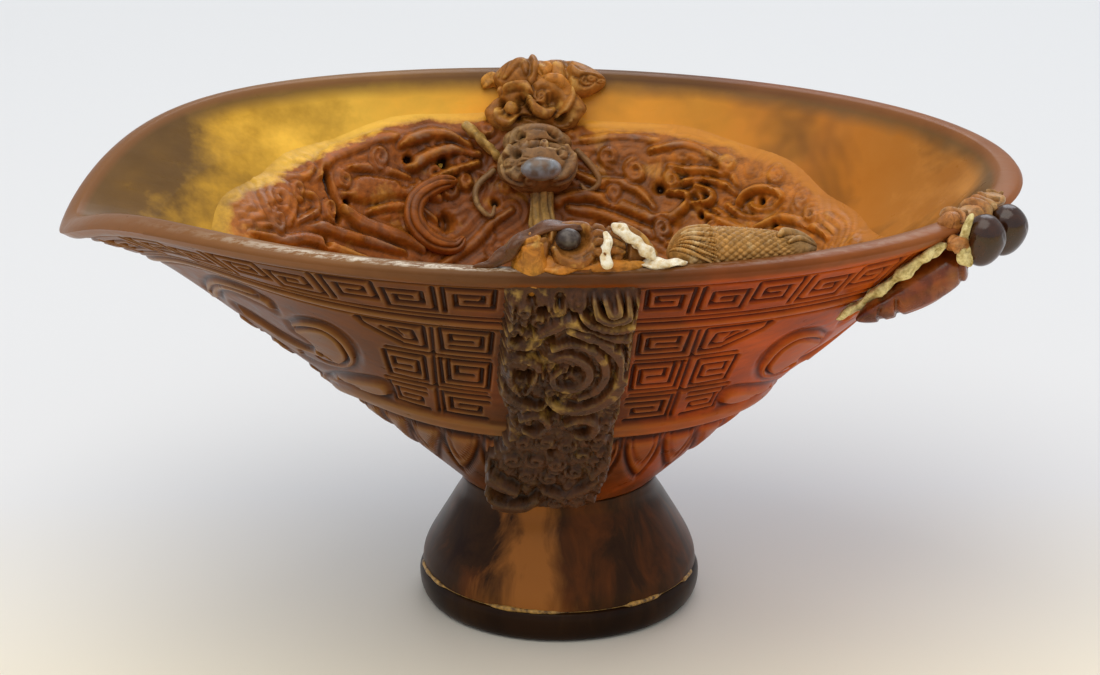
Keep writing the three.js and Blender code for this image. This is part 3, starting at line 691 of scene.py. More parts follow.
# %% Rings and lappets
def carve_rings(plan, up):
    """Lines and ridges that run right round the cup."""
    for line, half, depth in ring_lines:
        plan.height -= depth * (1 - soft_step(np.abs(up - line) / half, 0.35, 1.3))
    upper = soft_step(up, 49.4, 49.8) * (1 - soft_step(up, 50.5, 50.9))
    low, high = lower_ridge
    ridge = soft_step(up, low - 0.5, low + 0.4) * (1 - soft_step(up, high - 0.4, high + 0.3))
    recess = swell(up - low + 1.0, 0.8)
    lip = soft_step(up, 61.0, 61.8) * 0.25
    plan.height += 0.3 * upper + 0.75 * ridge - 0.7 * recess + lip


leaf_first, leaf_last, leaf_pitch, leaf_top = 1.5, 60, 7.4, 17.6
leaf_side = [(3.2, 17.6), (3.3, 14.5), (2.5, 10.5), (1.1, 7.0)]
leaf_tip_across, leaf_length = 0.3, 12.2


def leaf(centre, size):
    """One side through its four points, the tip, and the same side mirrored."""
    half = [(centre + size * x, leaf_top - size * (leaf_top - y)) for x, y in leaf_side]
    tip = [(centre + leaf_tip_across, leaf_top - size * leaf_length)]
    return through(half + tip + [(2 * centre - x, y) for x, y in half[::-1]])


def carve_lappets(plan):
    """A low row of hanging leaves under the thick ridge, each with a groove inside its edge."""
    for centre in np.arange(leaf_first, leaf_last, leaf_pitch):
        plan.field(leaf(centre, 1.0), 1.0, 0.3, 0.7, 0.6)
        plan.groove(leaf(centre, 0.62), 0.28, 0.4)


print(len(np.arange(leaf_first, leaf_last, leaf_pitch)), "leaves in a quarter")

# %% [markdown]
# ## Horn
#
# Buffalo horn is keratin, sawn, boiled, carved and polished. It is translucent: thin
# walls glow honey yellow and orange where light comes through, and thick parts look
# brown to black. Fine dark streaks follow the growth of the horn. Old dirt and stain
# stay in the carving, and painted shade darkens it further, so crevices are nearly black.
# Worn high spots are paler, partly from wear and partly from a painted highlight.
# The colour is worked out from the place on the cup, and the carving's depth darkens it.

# %% Bowl horn
streak_spacing = 2.2 * MM
mottle_size = 14 * MM


def bowl_horn_material():
    """Polished horn: outside brown to red orange, inside honey to smoky, crevices dark with stain
    and painted shade.

    Painted glints, pale flecks standing for highlights, show only along the middle of the near lip,
    left of the head.
    """
    material, add, place = new_material("polished_buffalo_horn")
    parts = add("SeparateXYZ", [place]).outputs
    mottle = add("TexNoise", {"Vector": place, "Scale": 1 / mottle_size, "Detail": 5,
        "Roughness": 0.6})
    drift = add("Math", [mottle, 0.5], operation="SUBTRACT")
    wander = add("Math", [drift, 0.05], operation="MULTIPLY")
    along = add("Math", [parts["X"], wander])
    reach = add("MapRange", [along, -0.0882, 0.0808])
    outside = add("ValToRGB", [reach], [(0, "7A4A1C"), (0.2, "6A3C14"), (0.42, "603410"),
        (0.56, "70340E"), (0.68, "A0400A"), (0.84, "B04C0A"), (1, "94480E")])
    inside = add("ValToRGB", [reach], [(0, "6E5230"), (0.1, "74552A"), (0.19, "D2A034"),
        (0.3, "FFCA4C"), (0.48, "F0AA38"), (0.68, "DC922C"), (0.8, "C67A24"), (0.9, "B07028"),
        (1, "C0843E")])
    streaks = add("Mapping", {"Vector": place, "Scale": (1 / (6 * streak_spacing),
        1 / streak_spacing, 1 / streak_spacing)})
    streak = add("TexNoise", {"Vector": streaks, "Scale": 1, "Detail": 4, "Roughness": 0.65})
    smoke_place = add("Mapping", {"Vector": place, "Location": (0.31, 0.1, 0.2),
        "Scale": (18, 34, 30)})
    smoke = add("TexNoise", {"Vector": smoke_place, "Scale": 1, "Detail": 4, "Roughness": 0.62,
        "Distortion": 0.6})
    smoke_high = add("MapRange", [smoke, 0.45, 0.6])
    right = add("MapRange", [parts["X"], 0.0, 0.05, 0.25, 0.9])
    smoke_share = add("Math", [smoke_high, right], operation="MULTIPLY")
    smoky = add("MixRGB", [smoke_share, inside, "50381A"])
    # Painted shade: the inside is darkened to a dull brown just under the lip.
    under_lip = add("Attribute", attribute_name="under_lip").outputs["Fac"]
    shade_edge = add("Math", [under_lip, drift])
    shade = add("MapRange", [shade_edge, 0.2, 0.9, 0, 0.85])
    shaded = add("MixRGB", [shade, smoky, "6E5230"])
    inner = add("Attribute", attribute_name="inner").outputs["Fac"]
    ground = add("MixRGB", [inner, outside, shaded])
    streak_band = add("MapRange", [streak, 0.36, 0.64, 0.72, 1.12])
    outer_streak = add("Mix", {"Factor": inner, "A": streak_band, "B": 1.0}, data_type="FLOAT")
    cloud_light = add("MapRange", [mottle, 0.35, 0.66, 0.84, 1.14])
    lit = add("Math", [outer_streak, cloud_light], operation="MULTIPLY")
    streaked = add("VectorMath", {0: ground, 3: lit}, operation="SCALE")
    depth = add("Attribute", attribute_name="depth").outputs["Fac"]
    # Stain in the grooves, partly painted shade: the deeper the carving, the darker the colour.
    crevice_stain_and_shade = add("MapRange", [depth, 0.2, 0.48, 0.97, 0])
    stain = add("ValToRGB", [reach], [(0, "301206"), (0.5, "220B04"), (0.7, "400F03"),
        (1, "461404")])
    stained_and_shaded = add("MixRGB", [crevice_stain_and_shade, streaked, stain])
    # Paler wear on high spots, partly a painted highlight.
    worn = add("MapRange", [depth, 0.52, 0.76, 0, 0.6])
    wear_and_highlight = add("ValToRGB", [reach], [(0, "A27A46"), (0.42, "906436"), (0.64, "B05A1C"),
        (1, "C86C22")])
    rubbed_and_highlit = add("MixRGB", [worn, stained_and_shaded, wear_and_highlight])
    edge = add("Attribute", attribute_name="lip").outputs["Fac"]
    edge_share = add("Math", [edge, 0.75], operation="MULTIPLY")
    edge_tint = add("ValToRGB", [reach], [(0, "8E6240"), (0.25, "885C3A"), (0.4, "6E4A2E"),
        (0.5, "4C331E"), (0.7, "663C1E"), (1, "965E34")])
    edged = add("MixRGB", [edge_share, rubbed_and_highlit, edge_tint])
    # Painted glints: pale flecks on top of the near-left lip stand for highlights.
    glint_place = add("Mapping", {"Vector": place, "Scale": (1 / (3 * MM), 1 / (1.2 * MM),
        1 / (1.2 * MM))})
    glint_noise = add("TexNoise", {"Vector": glint_place, "Scale": 1, "Detail": 4, "Roughness": 0.75})
    off_line = add("Math", [inner, 0.42], operation="SUBTRACT")
    from_line = add("Math", [off_line], operation="ABSOLUTE")
    on_top = add("MapRange", [from_line, 0.26, 0.1])
    near_side = add("MapRange", [parts["Y"], -0.02, -0.04])
    left_side = add("MapRange", [parts["X"], 0.012, -0.02, 0.12])
    not_spout = add("MapRange", [parts["X"], -0.062, -0.04, 0.15])
    painted_glint_share = add("MapRange", [glint_noise, 0.44, 0.56, 0, 0.95])
    for gate in (on_top, edge, near_side, left_side, not_spout):
        painted_glint_share = add("Math", [painted_glint_share, gate], operation="MULTIPLY")
    colour = add("MixRGB", [painted_glint_share, edged, "DCCFBA"])
    rough = add("MapRange", [streak, 0.3, 0.7, 0.26, 0.42])
    bump = add("Bump", {"Height": streak, "Strength": 0.12, "Distance": 0.3 * MM})
    shader = add("BsdfPrincipled", {"Base Color": colour, "Roughness": rough, "Normal": bump,
        "IOR": 1.54, "Specular IOR Level": 0.1, "Coat Weight": 0.04, "Coat Roughness": 0.15})
    add("OutputMaterial", [shader])
    return material


bowl_horn = bowl_horn_material()
print("material", bowl_horn.name)

# %% [markdown]
# ## The bowl
#
# The bowl is too finely carved for one mesh, so it is made in four quarters that meet
# behind the flanges, under the spout and under the handle. Each quarter is an upper and
# a lower body that meet in a groove under the fret band. A body is a closed section
# carried round the cup from one end of the quarter to the other.

# %% Spacing of the bowl
upper_rows, lower_rows, lip_rows, inside_rows = 84, 172, 10, 12
front_columns, back_columns = (560, 430), (400, 330)
seam_share = seam_up / wall_run
even_share = 0.8


def crowded_shares(low, high, rows):
    """Shares from low to high, crowded where the pattern is fine."""
    share = np.linspace(low, high, 2001)
    crowd = 0.35 + 0.65 * soft_step(share, 0.28, 0.34) - 0.6 * soft_step(share, 0.95, 0.975)
    run = np.concatenate([[0], np.cumsum((crowd[1:] + crowd[:-1]) / 2)])
    return np.interp(np.linspace(0, run[-1], rows), run, share)


def quarter_turns(side_x, side_y, columns):
    """Turns from the flange's middle to the cup's end, even along the wall near its top."""
    start, end = side_y * math.pi / 2, 0 if side_x > 0 else side_y * math.pi
    fine = np.linspace(start, end, 721)
    run = run_along(wall_at(fine, even_share))
    return np.interp(np.linspace(0, run[-1], columns), run, fine)


def across_from_flange(turns, shares, side_x):
    """Arc along each ring from the turn of the flange, less the flange's own drift."""
    arc = run_along(wall_at(turns[:, None], shares[None, :]))
    middle = -flange_drift * (1 - shares) - mix(neck_centre_x, rim_centre_x, shares)
    return arc - side_x * middle


print("seam at", round(seam_share, 3), "of the way up")

# %% [markdown]
# A section of the bowl has a carved outside, a rounded lip and a smooth inside. Each is
# the same wall, moved in or out: by the plan's height, over the top, or by the thickness.

# %% Faces of the bowl
def outer_face(turns, shares, side_x):
    """The carved outside: the wall moved by the plan's height, with the plan's depth field."""
    across = across_from_flange(turns, shares, side_x)
    share = np.broadcast_to(shares, across.shape)
    plan, up = carve_outside(across, share, across[-1:])
    if shares[0] == 0:
        carve_scrolls(plan)
        carve_lappets(plan)
    carve_rings(plan, up)
    height = blur(np.clip(plan.height, -1.1, 1.0), 1)
    height = height * soft_step(share, 0, 0.03) * (1 - soft_step(share, 0.975, 1))
    sunk_ground = 0.25 * soft_step(share, 0.3, 0.36) * (1 - soft_step(share, 0.95, 0.97))
    depth = np.clip(0.5 + 0.25 * height + 0.8 * (height - blur(height, 14)), 0, 1)
    return off_wall(turns[:, None], share, height - sunk_ground), depth


def inner_face(turns, high, low):
    """The smooth inside: the wall moved in by its thickness."""
    shares = np.linspace(high, low, inside_rows)[None, :]
    return off_wall(turns[:, None], shares, np.full((1, inside_rows), -wall))


def lip_face(turns):
    """Half a circle's rise over the top of the wall, from its outer to its inner edge."""
    top = off_wall(turns, 1.0, np.zeros(len(turns)))[:, None]
    inner_top = off_wall(turns, inner_top_share, np.full(len(turns), -wall))[:, None]
    over = np.linspace(0, 1, lip_rows + 2)[1:-1]
    lip = mix(top, inner_top, over[None, :, None])
    lip[..., 2] += lip_rise * np.sqrt(4 * over * (1 - over))
    return lip, over


print("wall of", wall, "mm with a lip", lip_rise, "mm higher")

# %% [markdown]
# The three faces joined end to end make one closed loop, and the loops carried round
# make one body. Fields tell the horn where it is carved, inside, or on the lip.

# %% Bowl quarters
def bowl_part(name, side_x, side_y, columns, upper):
    """One closed body of a quarter, with fields for the carving, the inside and the lip."""
    turns = quarter_turns(side_x, side_y, columns)
    if upper:
        shares = crowded_shares(seam_share, 1, upper_rows)
        lip, over = lip_face(turns)
        inner = inner_face(turns, inner_top_share, seam_share)
    else:
        shares = crowded_shares(0, seam_share, lower_rows)
        lip, over = np.zeros((columns, 0, 3)), np.zeros(0)
        inner = inner_face(turns, seam_share, cavity_floor_share)
    outer, depth = outer_face(turns, shares, side_x)
    loops = np.concatenate([outer, lip, inner], axis=1)
    even = np.full((columns, len(over) + inside_rows), 0.5)
    inside = np.concatenate([np.zeros(len(shares)), over, np.ones(inside_rows)])
    edge = np.concatenate([
        soft_step(shares, 0.972, 0.986), np.ones(len(over)),
        1 - soft_step(np.arange(inside_rows), 0, 1)])
    # Painted shade: this field darkens the inside just under the lip.
    under = np.concatenate([
        np.zeros(len(shares)), over, 1 - soft_step(np.linspace(0, 1, inside_rows), 0.0, 0.45)])
    fields = {
        "depth": np.concatenate([depth, even], axis=1),
        "inner": np.broadcast_to(inside, loops.shape[:2]),
        "lip": np.broadcast_to(edge if upper else 0 * edge, loops.shape[:2]),
        "under_lip": np.broadcast_to(under if upper else 0 * under, loops.shape[:2]),
    }
    return sleeve(name, loops, (bowl_horn, "bowl_horn", ["bowl"]), fields, poles=False)


for name, side_x, side_y in (
        ("bowl_front_spout", -1, -1), ("bowl_front_handle", 1, -1),
        ("bowl_back_spout", -1, 1), ("bowl_back_handle", 1, 1)):
    upper_columns, lower_columns = front_columns if side_y < 0 else back_columns
    bowl_part(name + "_upper", side_x, side_y, upper_columns, True)
    bowl_part(name + "_lower", side_x, side_y, lower_columns, False)

# %% [markdown]
# ## Carved horn
#
# The lining, flanges and dragons are the same horn as the bowl, but carved all over and
# stained. One recipe serves them all: a ground colour that changes along the cup, dark
# stain and painted shade where the carving is deep, wear and a painted highlight on what
# stands high, and patches of painted blue-grey sheen, the sky reflected, on polished
# ridges. Each piece only brings its own colours.

# %% Carved horn recipe
def carved_horn(name, ground, stain, wear_and_highlight, painted_sheen, painted_sheen_share=0.3, roughness=0.36, grain=3.0,
                gold=None, worn_from=-40, worn_to=-20, shine=0.18):
    """Ground ramp along X, stain and painted shade in the depths, painted sky sheen on ridges, wear
    and painted highlight from one height to another.
    """
    material, add, place = new_material(name)
    parts = add("SeparateXYZ", [place]).outputs
    mottle = add("TexNoise", {"Vector": place, "Scale": 1 / (9 * MM), "Detail": 6,
        "Roughness": 0.62})
    drift = add("Math", [mottle, 0.5], operation="SUBTRACT")
    wander = add("Math", [drift, 0.06], operation="MULTIPLY")
    along = add("Math", [parts["X"], wander])
    reach = add("MapRange", [along, -0.07, 0.07])
    base = add("ValToRGB", [reach], ground)
    plain = add("Attribute", attribute_name="fade").outputs["Fac"]
    shake = add("Math", [drift, 1.6], operation="MULTIPLY")
    shaken = add("Math", [plain, shake])
    fade = add("MapRange", [shaken, 0.35, 0.75])
    wall_tint = add("ValToRGB", [reach], gold or ground)
    base = add("MixRGB", [fade, base, wall_tint])
    patches = add("TexNoise", {"Vector": place, "Scale": 1 / (grain * MM), "Detail": 5,
        "Roughness": 0.65, "Distortion": 0.6})
    light = add("MapRange", [patches, 0.34, 0.68, 0.55, 1.3])
    calm = add("Mix", {"Factor": fade, "A": light, "B": 1.0}, data_type="FLOAT")
    mottled = add("VectorMath", {0: base, 3: calm}, operation="SCALE")
    depth = add("Attribute", attribute_name="depth").outputs["Fac"]
    cloud = add("TexNoise", {"Vector": place, "Scale": 1 / (2.2 * grain * MM), "Detail": 4,
        "Roughness": 0.6})
    touched = add("MapRange", [parts["Z"], worn_from * MM, worn_to * MM, 0.1])
    spots = add("MapRange", [cloud, 0.42, 0.3, 0, 0.6])
    spots_here = add("Math", [spots, touched], operation="MULTIPLY")
    spotted = add("MixRGB", [spots_here, mottled, wear_and_highlight])
    # Painted sheen: blue-grey patches on high ridges stand for the sky reflected in the polish.
    sheen_patches = add("MapRange", [cloud, 0.52, 0.64, 0, painted_sheen_share])
    high = add("MapRange", [depth, 0.5, 0.75])
    sheen_here = add("Math", [sheen_patches, high], operation="MULTIPLY")
    sheened = add("MixRGB", [sheen_here, spotted, painted_sheen])
    # Paler wear on high spots, by height, partly a painted highlight.
    worn = add("MapRange", [depth, 0.6, 0.95, 0, 0.55])
    uneven = add("Math", [worn, light], operation="MULTIPLY")
    wear_and_highlight_here = add("Math", [uneven, touched], operation="MULTIPLY", use_clamp=True)
    rubbed_and_highlit = add("MixRGB", [wear_and_highlight_here, sheened, wear_and_highlight])
    settled = add("MixRGB", [fade, rubbed_and_highlit, wall_tint])
    # Stain in the depths, partly painted shade: the deeper the carving, the darker the colour.
    crevice_stain_and_shade = add("MapRange", [depth, 0.1, 0.52, 0.98, 0])
    colour = add("MixRGB", [crevice_stain_and_shade, settled, stain])
    gloss = add("MapRange", [patches, 0.35, 0.65, roughness - 0.1, roughness + 0.12])
    bump = add("Bump", {"Height": patches, "Strength": 0.4, "Distance": 0.3 * MM})
    shader = add("BsdfPrincipled", {"Base Color": colour, "Roughness": gloss, "Normal": bump,
        "IOR": 1.54, "Specular IOR Level": shine, "Coat Weight": 0.05, "Coat Roughness": 0.2})
    add("OutputMaterial", [shader])
    return material


bed_horn = carved_horn(
    "stained_horn_lining",
    [(0, "B06A1C"), (0.18, "A85C18"), (0.4, "8E4E1A"), (0.62, "A05C1A"), (0.8, "BC701E"),
     (1, "C47C28")],
    stain="1A0A04", wear_and_highlight="DC9A40", painted_sheen="8A7A70", painted_sheen_share=0.6,
    gold=[(0, "74552A"), (0.1, "D2A034"), (0.23, "FFCA4C"), (0.45, "F0AA38"), (0.69, "DC922C"),
          (0.84, "C67A24"), (0.96, "B07028")])
# The gold on high places up the flange is wear and partly a painted highlight.
flange_horn = carved_horn(
    "dark_carved_horn_with_gold_wear_and_highlight",
    [(0, "4A3018"), (0.45, "4C2E18"), (0.6, "5A341A"), (1, "6A3A1C")],
    stain="100804", wear_and_highlight="CBA250", painted_sheen="6E5A4C", painted_sheen_share=0.25, roughness=0.34, grain=2.0,
    worn_from=34, worn_to=64)
print("materials", bed_horn.name, flange_horn.name)

# %% [markdown]
# ## The lining of clouds
#
# The hollow is lined with swirling clouds and water, with bodies of dragons between
# them. It is one height over the unrolled wall. The ground is made of ripples that run
# beside the main strokes, as a carver's tool does. The main strokes are laid over it
# as rounded bands, and small curls fill what is left. Strokes are given by the turn
# round the cup in degrees and the share of the way up, and the near wall takes the
# mirror image of the far one.

# %% Strokes of the lining
bed_floor_share = 0.143
bed_low_share, bed_high_share = 0.69, 0.885
bed_base = 2.1
bed_finish = (bed_horn, "bed_horn", ["cloud_bed"])
back_rows = 8
lining_bands = [
    ([(134, .60), (132, .56), (128, .53), (123.5, .51), (120, .475)],
     [.8, 1.3, 1.4, 1.2, .7], .7, 1.3),
    ([(136, .685), (132.5, .705), (127, .75), (121, .77), (115, .79), (110.5, .775)],
     [.6, 1.3, 1.7, 1.6, 1.2, .6], .6, 1.3),
    ([(131, .64), (126.5, .645), (119.5, .645), (114, .64), (110, .615)],
     [.7, 2.3, 2.6, 2.0, .8], .4, 1.5),
    ([(116, .66), (114, .69), (111, .715), (107, .74), (103, .75), (100, .735)],
     [.5, .9, 1.1, 1.0, .9, .5], .9, 1.3),
    ([(113, .76), (111, .775), (107, .795), (104, .79), (101, .755)],
     [.5, 1.0, 1.1, .9, .4], .8, 1.2),
    ([(160, .63), (152, .595), (144.5, .57), (139, .535), (132.5, .505), (125.5, .47)],
     [.4, .8, .9, .9, .8, .4], .6, 1.0),
    ([(164, .63), (156, .575), (149.5, .55), (144, .50), (138, .465)],
     [.4, .7, .8, .8, .4], .5, .9),
    ([(109.5, .67), (105, .69), (100.5, .71)],
     [.5, .8, .6], .8, 1.0),
    ([(128, .585), (121, .595), (115.5, .585), (112.5, .55)],
     [.4, .8, .8, .4], .7, .9),
    ([(149.5, .595), (141.5, .605), (139, .64), (141.5, .66)],
     [.4, .7, .7, .3], .5, .9),
    ([(147, .73), (142, .715), (138, .695), (133.5, .715), (133.5, .745), (137, .75)],
     [.3, .7, .8, .7, .6, .3], .6, .9),
    ([(127, .705), (122.5, .705), (117.5, .69), (114, .67)],
     [.4, .8, .8, .4], .5, 1.0),
    ([(87, .605), (81, .625), (75.5, .605), (69.5, .58), (64, .575), (62, .595), (61, .63),
      (62.5, .65), (66, .65)],
     [1.0, 1.2, 1.2, 1.1, .9, .8, .7, .6, .4], .8, 1.3),
    ([(84.5, .585), (78.5, .575), (72, .55), (66.5, .53), (60, .50)],
     [.7, 1.0, 1.0, .8, .4], .6, 1.2),
    ([(49.5, .615), (50, .645), (49.5, .67), (47, .69), (42.5, .69), (39, .67), (40.5, .635),
      (44.5, .63), (47, .645)],
     [.4, .6, .7, .7, .7, .7, .6, .5, .3], 1.0, 1.1),
    ([(52.5, .635), (49, .615), (46, .605), (40, .615), (37, .655)],
     [.3, .6, .6, .6, .3], .7, 1.0),
    ([(55, .62), (50, .595), (45, .585), (39, .595), (34.5, .64)],
     [.3, .6, .7, .6, .3], .5, .9),
    ([(64.5, .675), (60.5, .70), (55.5, .69), (52, .67)],
     [.4, .8, .8, .4], .7, 1.0),
    ([(67.5, .72), (64, .715), (59.5, .72), (54, .705)],
     [.4, .7, .7, .3], .5, .9),
    ([(84, .775), (81, .785), (77, .80), (72, .795), (68.5, .77)],
     [.4, .8, .9, .8, .4], .5, .8),
    ([(82, .835), (78, .84), (74.5, .84), (70, .84)],
     [.3, .6, .6, .3], .3, .6),
    ([(71.5, .76), (66, .79), (61, .77), (56, .73), (52.5, .69)],
     [.4, .8, .9, .8, .4], .5, .9),
    ([(38, .545), (36.5, .575), (34, .59), (27.5, .59), (22, .565)],
     [.4, .7, .8, .7, .4], .6, 1.0),
    ([(41.5, .585), (38, .61), (35, .625), (24.5, .625), (14, .61)],
     [.4, .7, .8, .8, .4], .6, 1.0),
    ([(83.5, .685), (79, .66), (74, .66), (70.5, .635), (67.5, .60)],
     [.6, 1.0, 1.0, .8, .4], .6, 1.1),
    ([(59, .62), (55, .595), (49.5, .58), (44, .57), (38, .54)],
     [.4, .7, .8, .7, .4], .6, .9),
    ([(61, .675), (57, .66), (56.5, .635), (60, .625)],
     [.3, .6, .6, .3], .9, .8),
    ([(96, .58), (101, .54), (106, .49), (113, .45), (122, .41)],
     [.5, .9, 1.0, .9, .4], .6, 1.0),
    ([(84, .54), (78, .50), (70, .46), (60, .44), (48, .45)],
     [.5, .9, 1.0, .9, .4], .6, 1.0),
    ([(140, .44), (126, .37), (108, .33), (92, .33), (74, .36)],
     [.5, .9, 1.0, .9, .4], .5, .9),
    ([(150, .40), (120, .26), (92, .24), (62, .26), (36, .36)],
     [.5, .9, 1.0, .9, .4], .4, .8),
    ([(24, .50), (34, .50), (46, .50), (56, .52)],
     [.3, .7, .7, .3], .5, .8),
]
lining_curls = [
    (147.5, .66, 4.6, 2.4, 1), (141.5, .665, 1.6, 1.4, -1), (153, .615, 1.7, 1.4, 1),
    (137.5, .60, 1.8, 1.6, -1), (128.5, .675, 1.7, 1.5, 1), (118, .73, 2.1, 1.6, -1),
    (107, .64, 1.8, 1.6, 1), (103.5, .66, 1.4, 1.4, -1), (117, .555, 1.8, 1.6, 1),
    (73, .70, 2.1, 1.7, 1), (78, .735, 1.8, 1.5, -1), (66, .685, 1.5, 1.5, 1),
    (56.5, .745, 1.7, 1.5, -1), (45.5, .735, 1.9, 1.6, 1), (34.5, .69, 1.8, 1.5, -1),
    (28, .655, 1.7, 1.4, 1), (76, .635, 1.4, 1.4, -1), (52, .555, 1.6, 1.5, 1),
    (64, .545, 1.8, 1.6, -1), (31, .545, 1.7, 1.5, 1), (97.5, .81, 1.6, 1.4, 1),
    (84, .81, 1.5, 1.4, -1), (126, .80, 1.6, 1.4, 1), (134, .775, 1.4, 1.3, -1)]
lining_holes = [
    (106.5, .715, .9), (112.5, .725, .8), (146, .53, .7), (110.5, .55, 1.5), (68, .66, .9),
    (45, .66, .6), (99, .60, .7), (57, .60, .6), (131, .62, .6), (36, .60, .6)]
lining_seam = [(131.5, .70), (133.5, .65), (134.5, .61), (136.5, .58)]
print(len(lining_bands), "bands and", len(lining_curls), "curls on each wall")

# %% [markdown]
# The lining is not a carpet of equal depth. Its top edge wanders, and it ends in waves,
# so the edge is a function of the turn and the strokes are laid on what is left.

# %% Lining surface
def bed_top_share(turn):
    """The lining's edge: lowest at the two ends, highest at the two sides, and uneven."""
    ragged = 0.010 * np.sin(7 * turn + 1) + 0.006 * np.sin(17 * turn)
    return mix(bed_low_share, bed_high_share, np.sin(turn) ** 2) + ragged


def on_plan(degrees, share):
    """A place on the far wall as millimetres across from its middle and up."""
    arcs = np.interp(np.radians(degrees), turn_table, arc_round(share))
    middle = np.interp(math.pi / 2, turn_table, arc_round(share))
    return np.array([middle - arcs, share * wall_run])


def carve_lining(plan, seed):
    """Ripples beside the strokes, then the bands, curls, holes and small fillers."""
    chance = np.random.default_rng(seed)
    paths = [through([on_plan(*point) for point in stroke[0]], 5) for stroke in lining_bands]
    curls = [(on_plan(turn, share), size, turns, hand)
             for turn, share, size, turns, hand in lining_curls]
    spirals = [spiral(centre, size, 0.35, turns, 90 * hand + 3 * size, hand)
               for centre, size, turns, hand in curls]
    nearest = np.full(plan.across.shape, 9.0)
    for path in paths + spirals:
        close, off, _ = plan.near(path, 9)
        nearest[close] = np.minimum(nearest[close], off)
    wave = 0.5 + 0.5 * np.sin(plan.across / 5.3 + 1.7 * np.sin(plan.up / 6.1))
    plan.height = 0.3 * np.cos(2 * math.pi * nearest / 1.5) * (0.5 + 0.5 * wave)
    plan.height += (0.6 * np.sin(plan.across / 7.9 + 0.6)
                    * np.sin(plan.up / 5.7 + 0.02 * plan.across))
    low, high = plan.across.min(), plan.across.max()
    for _ in range(150):
        centre = np.array([chance.uniform(low, high), chance.uniform(9, 56)])
        size, hand = chance.uniform(1.0, 2.4), chance.choice([-1, 1])
        start, turns = chance.uniform(0, 360), chance.uniform(0.4, 1.0)
        path = spiral(centre, size, 0.4, turns, start, hand, 9)
        tail = path[:1] + [hand * size, 0.4 * size]
        plan.band(np.concatenate([tail, path]), [0.15, 0.4, 0.5, 0.2], 0.1, 0.45, 0.5, 0.35)
    for (_, widths, level, proud), path in zip(lining_bands, paths):
        plan.band(path, widths, 0.8 * level, 0.75 * proud, 0.9, 0.7)
    for (centre, size, _, _), path in zip(curls, spirals):
        plan.band(path, [0.3, 0.16 * size + 0.25, 0.14 * size + 0.2, 0.2], 0.5, 0.6, 0.6, 0.5)
    for turn, share, radius in lining_holes:
        plan.pit(on_plan(turn, share), 1.25 * radius, 2.2)
    plan.groove(through([on_plan(*point) for point in lining_seam]), 0.8, 1.6)
    plan.height = blur(plan.height, 2)
    plan.height += 0.09 * np.cos(2 * math.pi * nearest / 0.62 + 0.5 * np.sin(plan.across))
    across, up = plan.across * 2.1, plan.up * 1.3
    scales = 0.16 * np.abs(np.sin(across + up) * np.sin(across - up))
    body = on_plan(120, .645)
    plan.height += (scales * swell((plan.across - body[0]) / 7, 1)
                    * swell((plan.up - body[1]) / 3, 1))


def lining_half(name, side_y, columns, rows, seed):
    """Half the hollow: the carved face stands in from the wall, with a plain back behind it."""
    turns = np.linspace(0, math.pi, columns) * side_y
    places = np.linspace(0, 1, rows)
    top = bed_top_share(turns)[:, None]
    share = mix(bed_floor_share, top, places[None, :])
    arc = run_along(wall_at(turns[:, None], share))
    across = arc[columns // 2][None, :] - arc
    plan = Carving(across, share * wall_run)
    carve_lining(plan, seed)
    below_edge = (top - share) * wall_run
    edge = soft_step(below_edge, 0.1, 6.5)
    inset = wall - 0.2 + edge * (0.5 + bed_base) + plan.height * edge
    inset = np.maximum(inset, wall - 0.2)
    inner = off_wall(turns[:, None], share, -inset)
    back_share = mix(bed_floor_share, top, np.linspace(0, 1, back_rows)[None, :])
    back = off_wall(turns[:, None], back_share, np.full(back_share.shape, 0.6 - wall))
    loops = np.concatenate([inner, back[:, ::-1]], axis=1)
    even = np.full((columns, back_rows), 0.5)
    fields = {
        "depth": np.concatenate([depth_field(inset, 12, 0.5), even], axis=1),
        "fade": np.concatenate([1 - soft_step(below_edge, 0.5, 5.5), 0 * even], axis=1),
    }
    return sleeve(name, loops, bed_finish, fields, poles=False)


lining_half("lining_far", 1, columns=560, rows=152, seed=11)
lining_half("lining_near", -1, columns=420, rows=112, seed=12)

# %% [markdown]
# ## The floor of the hollow
#
# Under the lining the hollow closes in a small floor, carved with one whirlpool. Its
# height is a wave of the angle plus the logarithm of the radius, which draws arms that
# spiral in evenly.

# %% Whirlpool floor
def whirlpool(rings, sides):
    """Rings of points from the rim of the floor to its middle, with spiral waves on top."""
    turns = once_round(sides)
    inner = off_wall(turns, 0.2 + 0.015 * np.sin(turns) ** 2, np.full(sides, -5.4))
    under = off_wall(turns, 0.02, np.full(sides, -1.0))
    middle = np.array([neck_centre_x - 0.4, 0, 0])
    scale = np.linspace(1, 0.02, rings)[:, None, None]
    top = middle + (inner[None] - middle) * scale
    angle = np.arctan2(top[..., 1], top[..., 0] - middle[0])
    radius = np.hypot(top[..., 0] - middle[0], top[..., 1])
    wave = np.sin(5 * angle + 7 * np.log(radius + 1)) * soft_step(radius, 0, 4)
    floor_level = inner[:, 2].mean() + 0.4
    top[..., 2] = (mix(floor_level, top[..., 2], scale[..., 0] ** 4)
                   + 0.4 * wave * (1 - scale[..., 0] ** 6))
    bottom = middle + (under[None] - middle) * np.linspace(1, 0.02, 4)[:, None, None]
    bottom[..., 2] = neck_height + 0.4
    loops = np.concatenate([bottom[::-1], top])
    depth = np.full(loops.shape[:2], 0.5)
    depth[4:] = 0.5 + 0.35 * wave
    return loops, depth


loops, depth = whirlpool(60, 160)
sleeve("hollow_floor", loops, bed_finish, {"depth": depth})

# %% [markdown]
# ## The two flanges
#
# A broad strip of high relief runs from the lip to the neck in the middle of each long
# side: scrolls, pierced clouds, a great boss with a light edge, a shell and small curls.
# It is carved like the lining, on a plan in millimetres across and up, and then laid
# on the wall. Its edges fall steeply, so it reads as a separate glued strip.

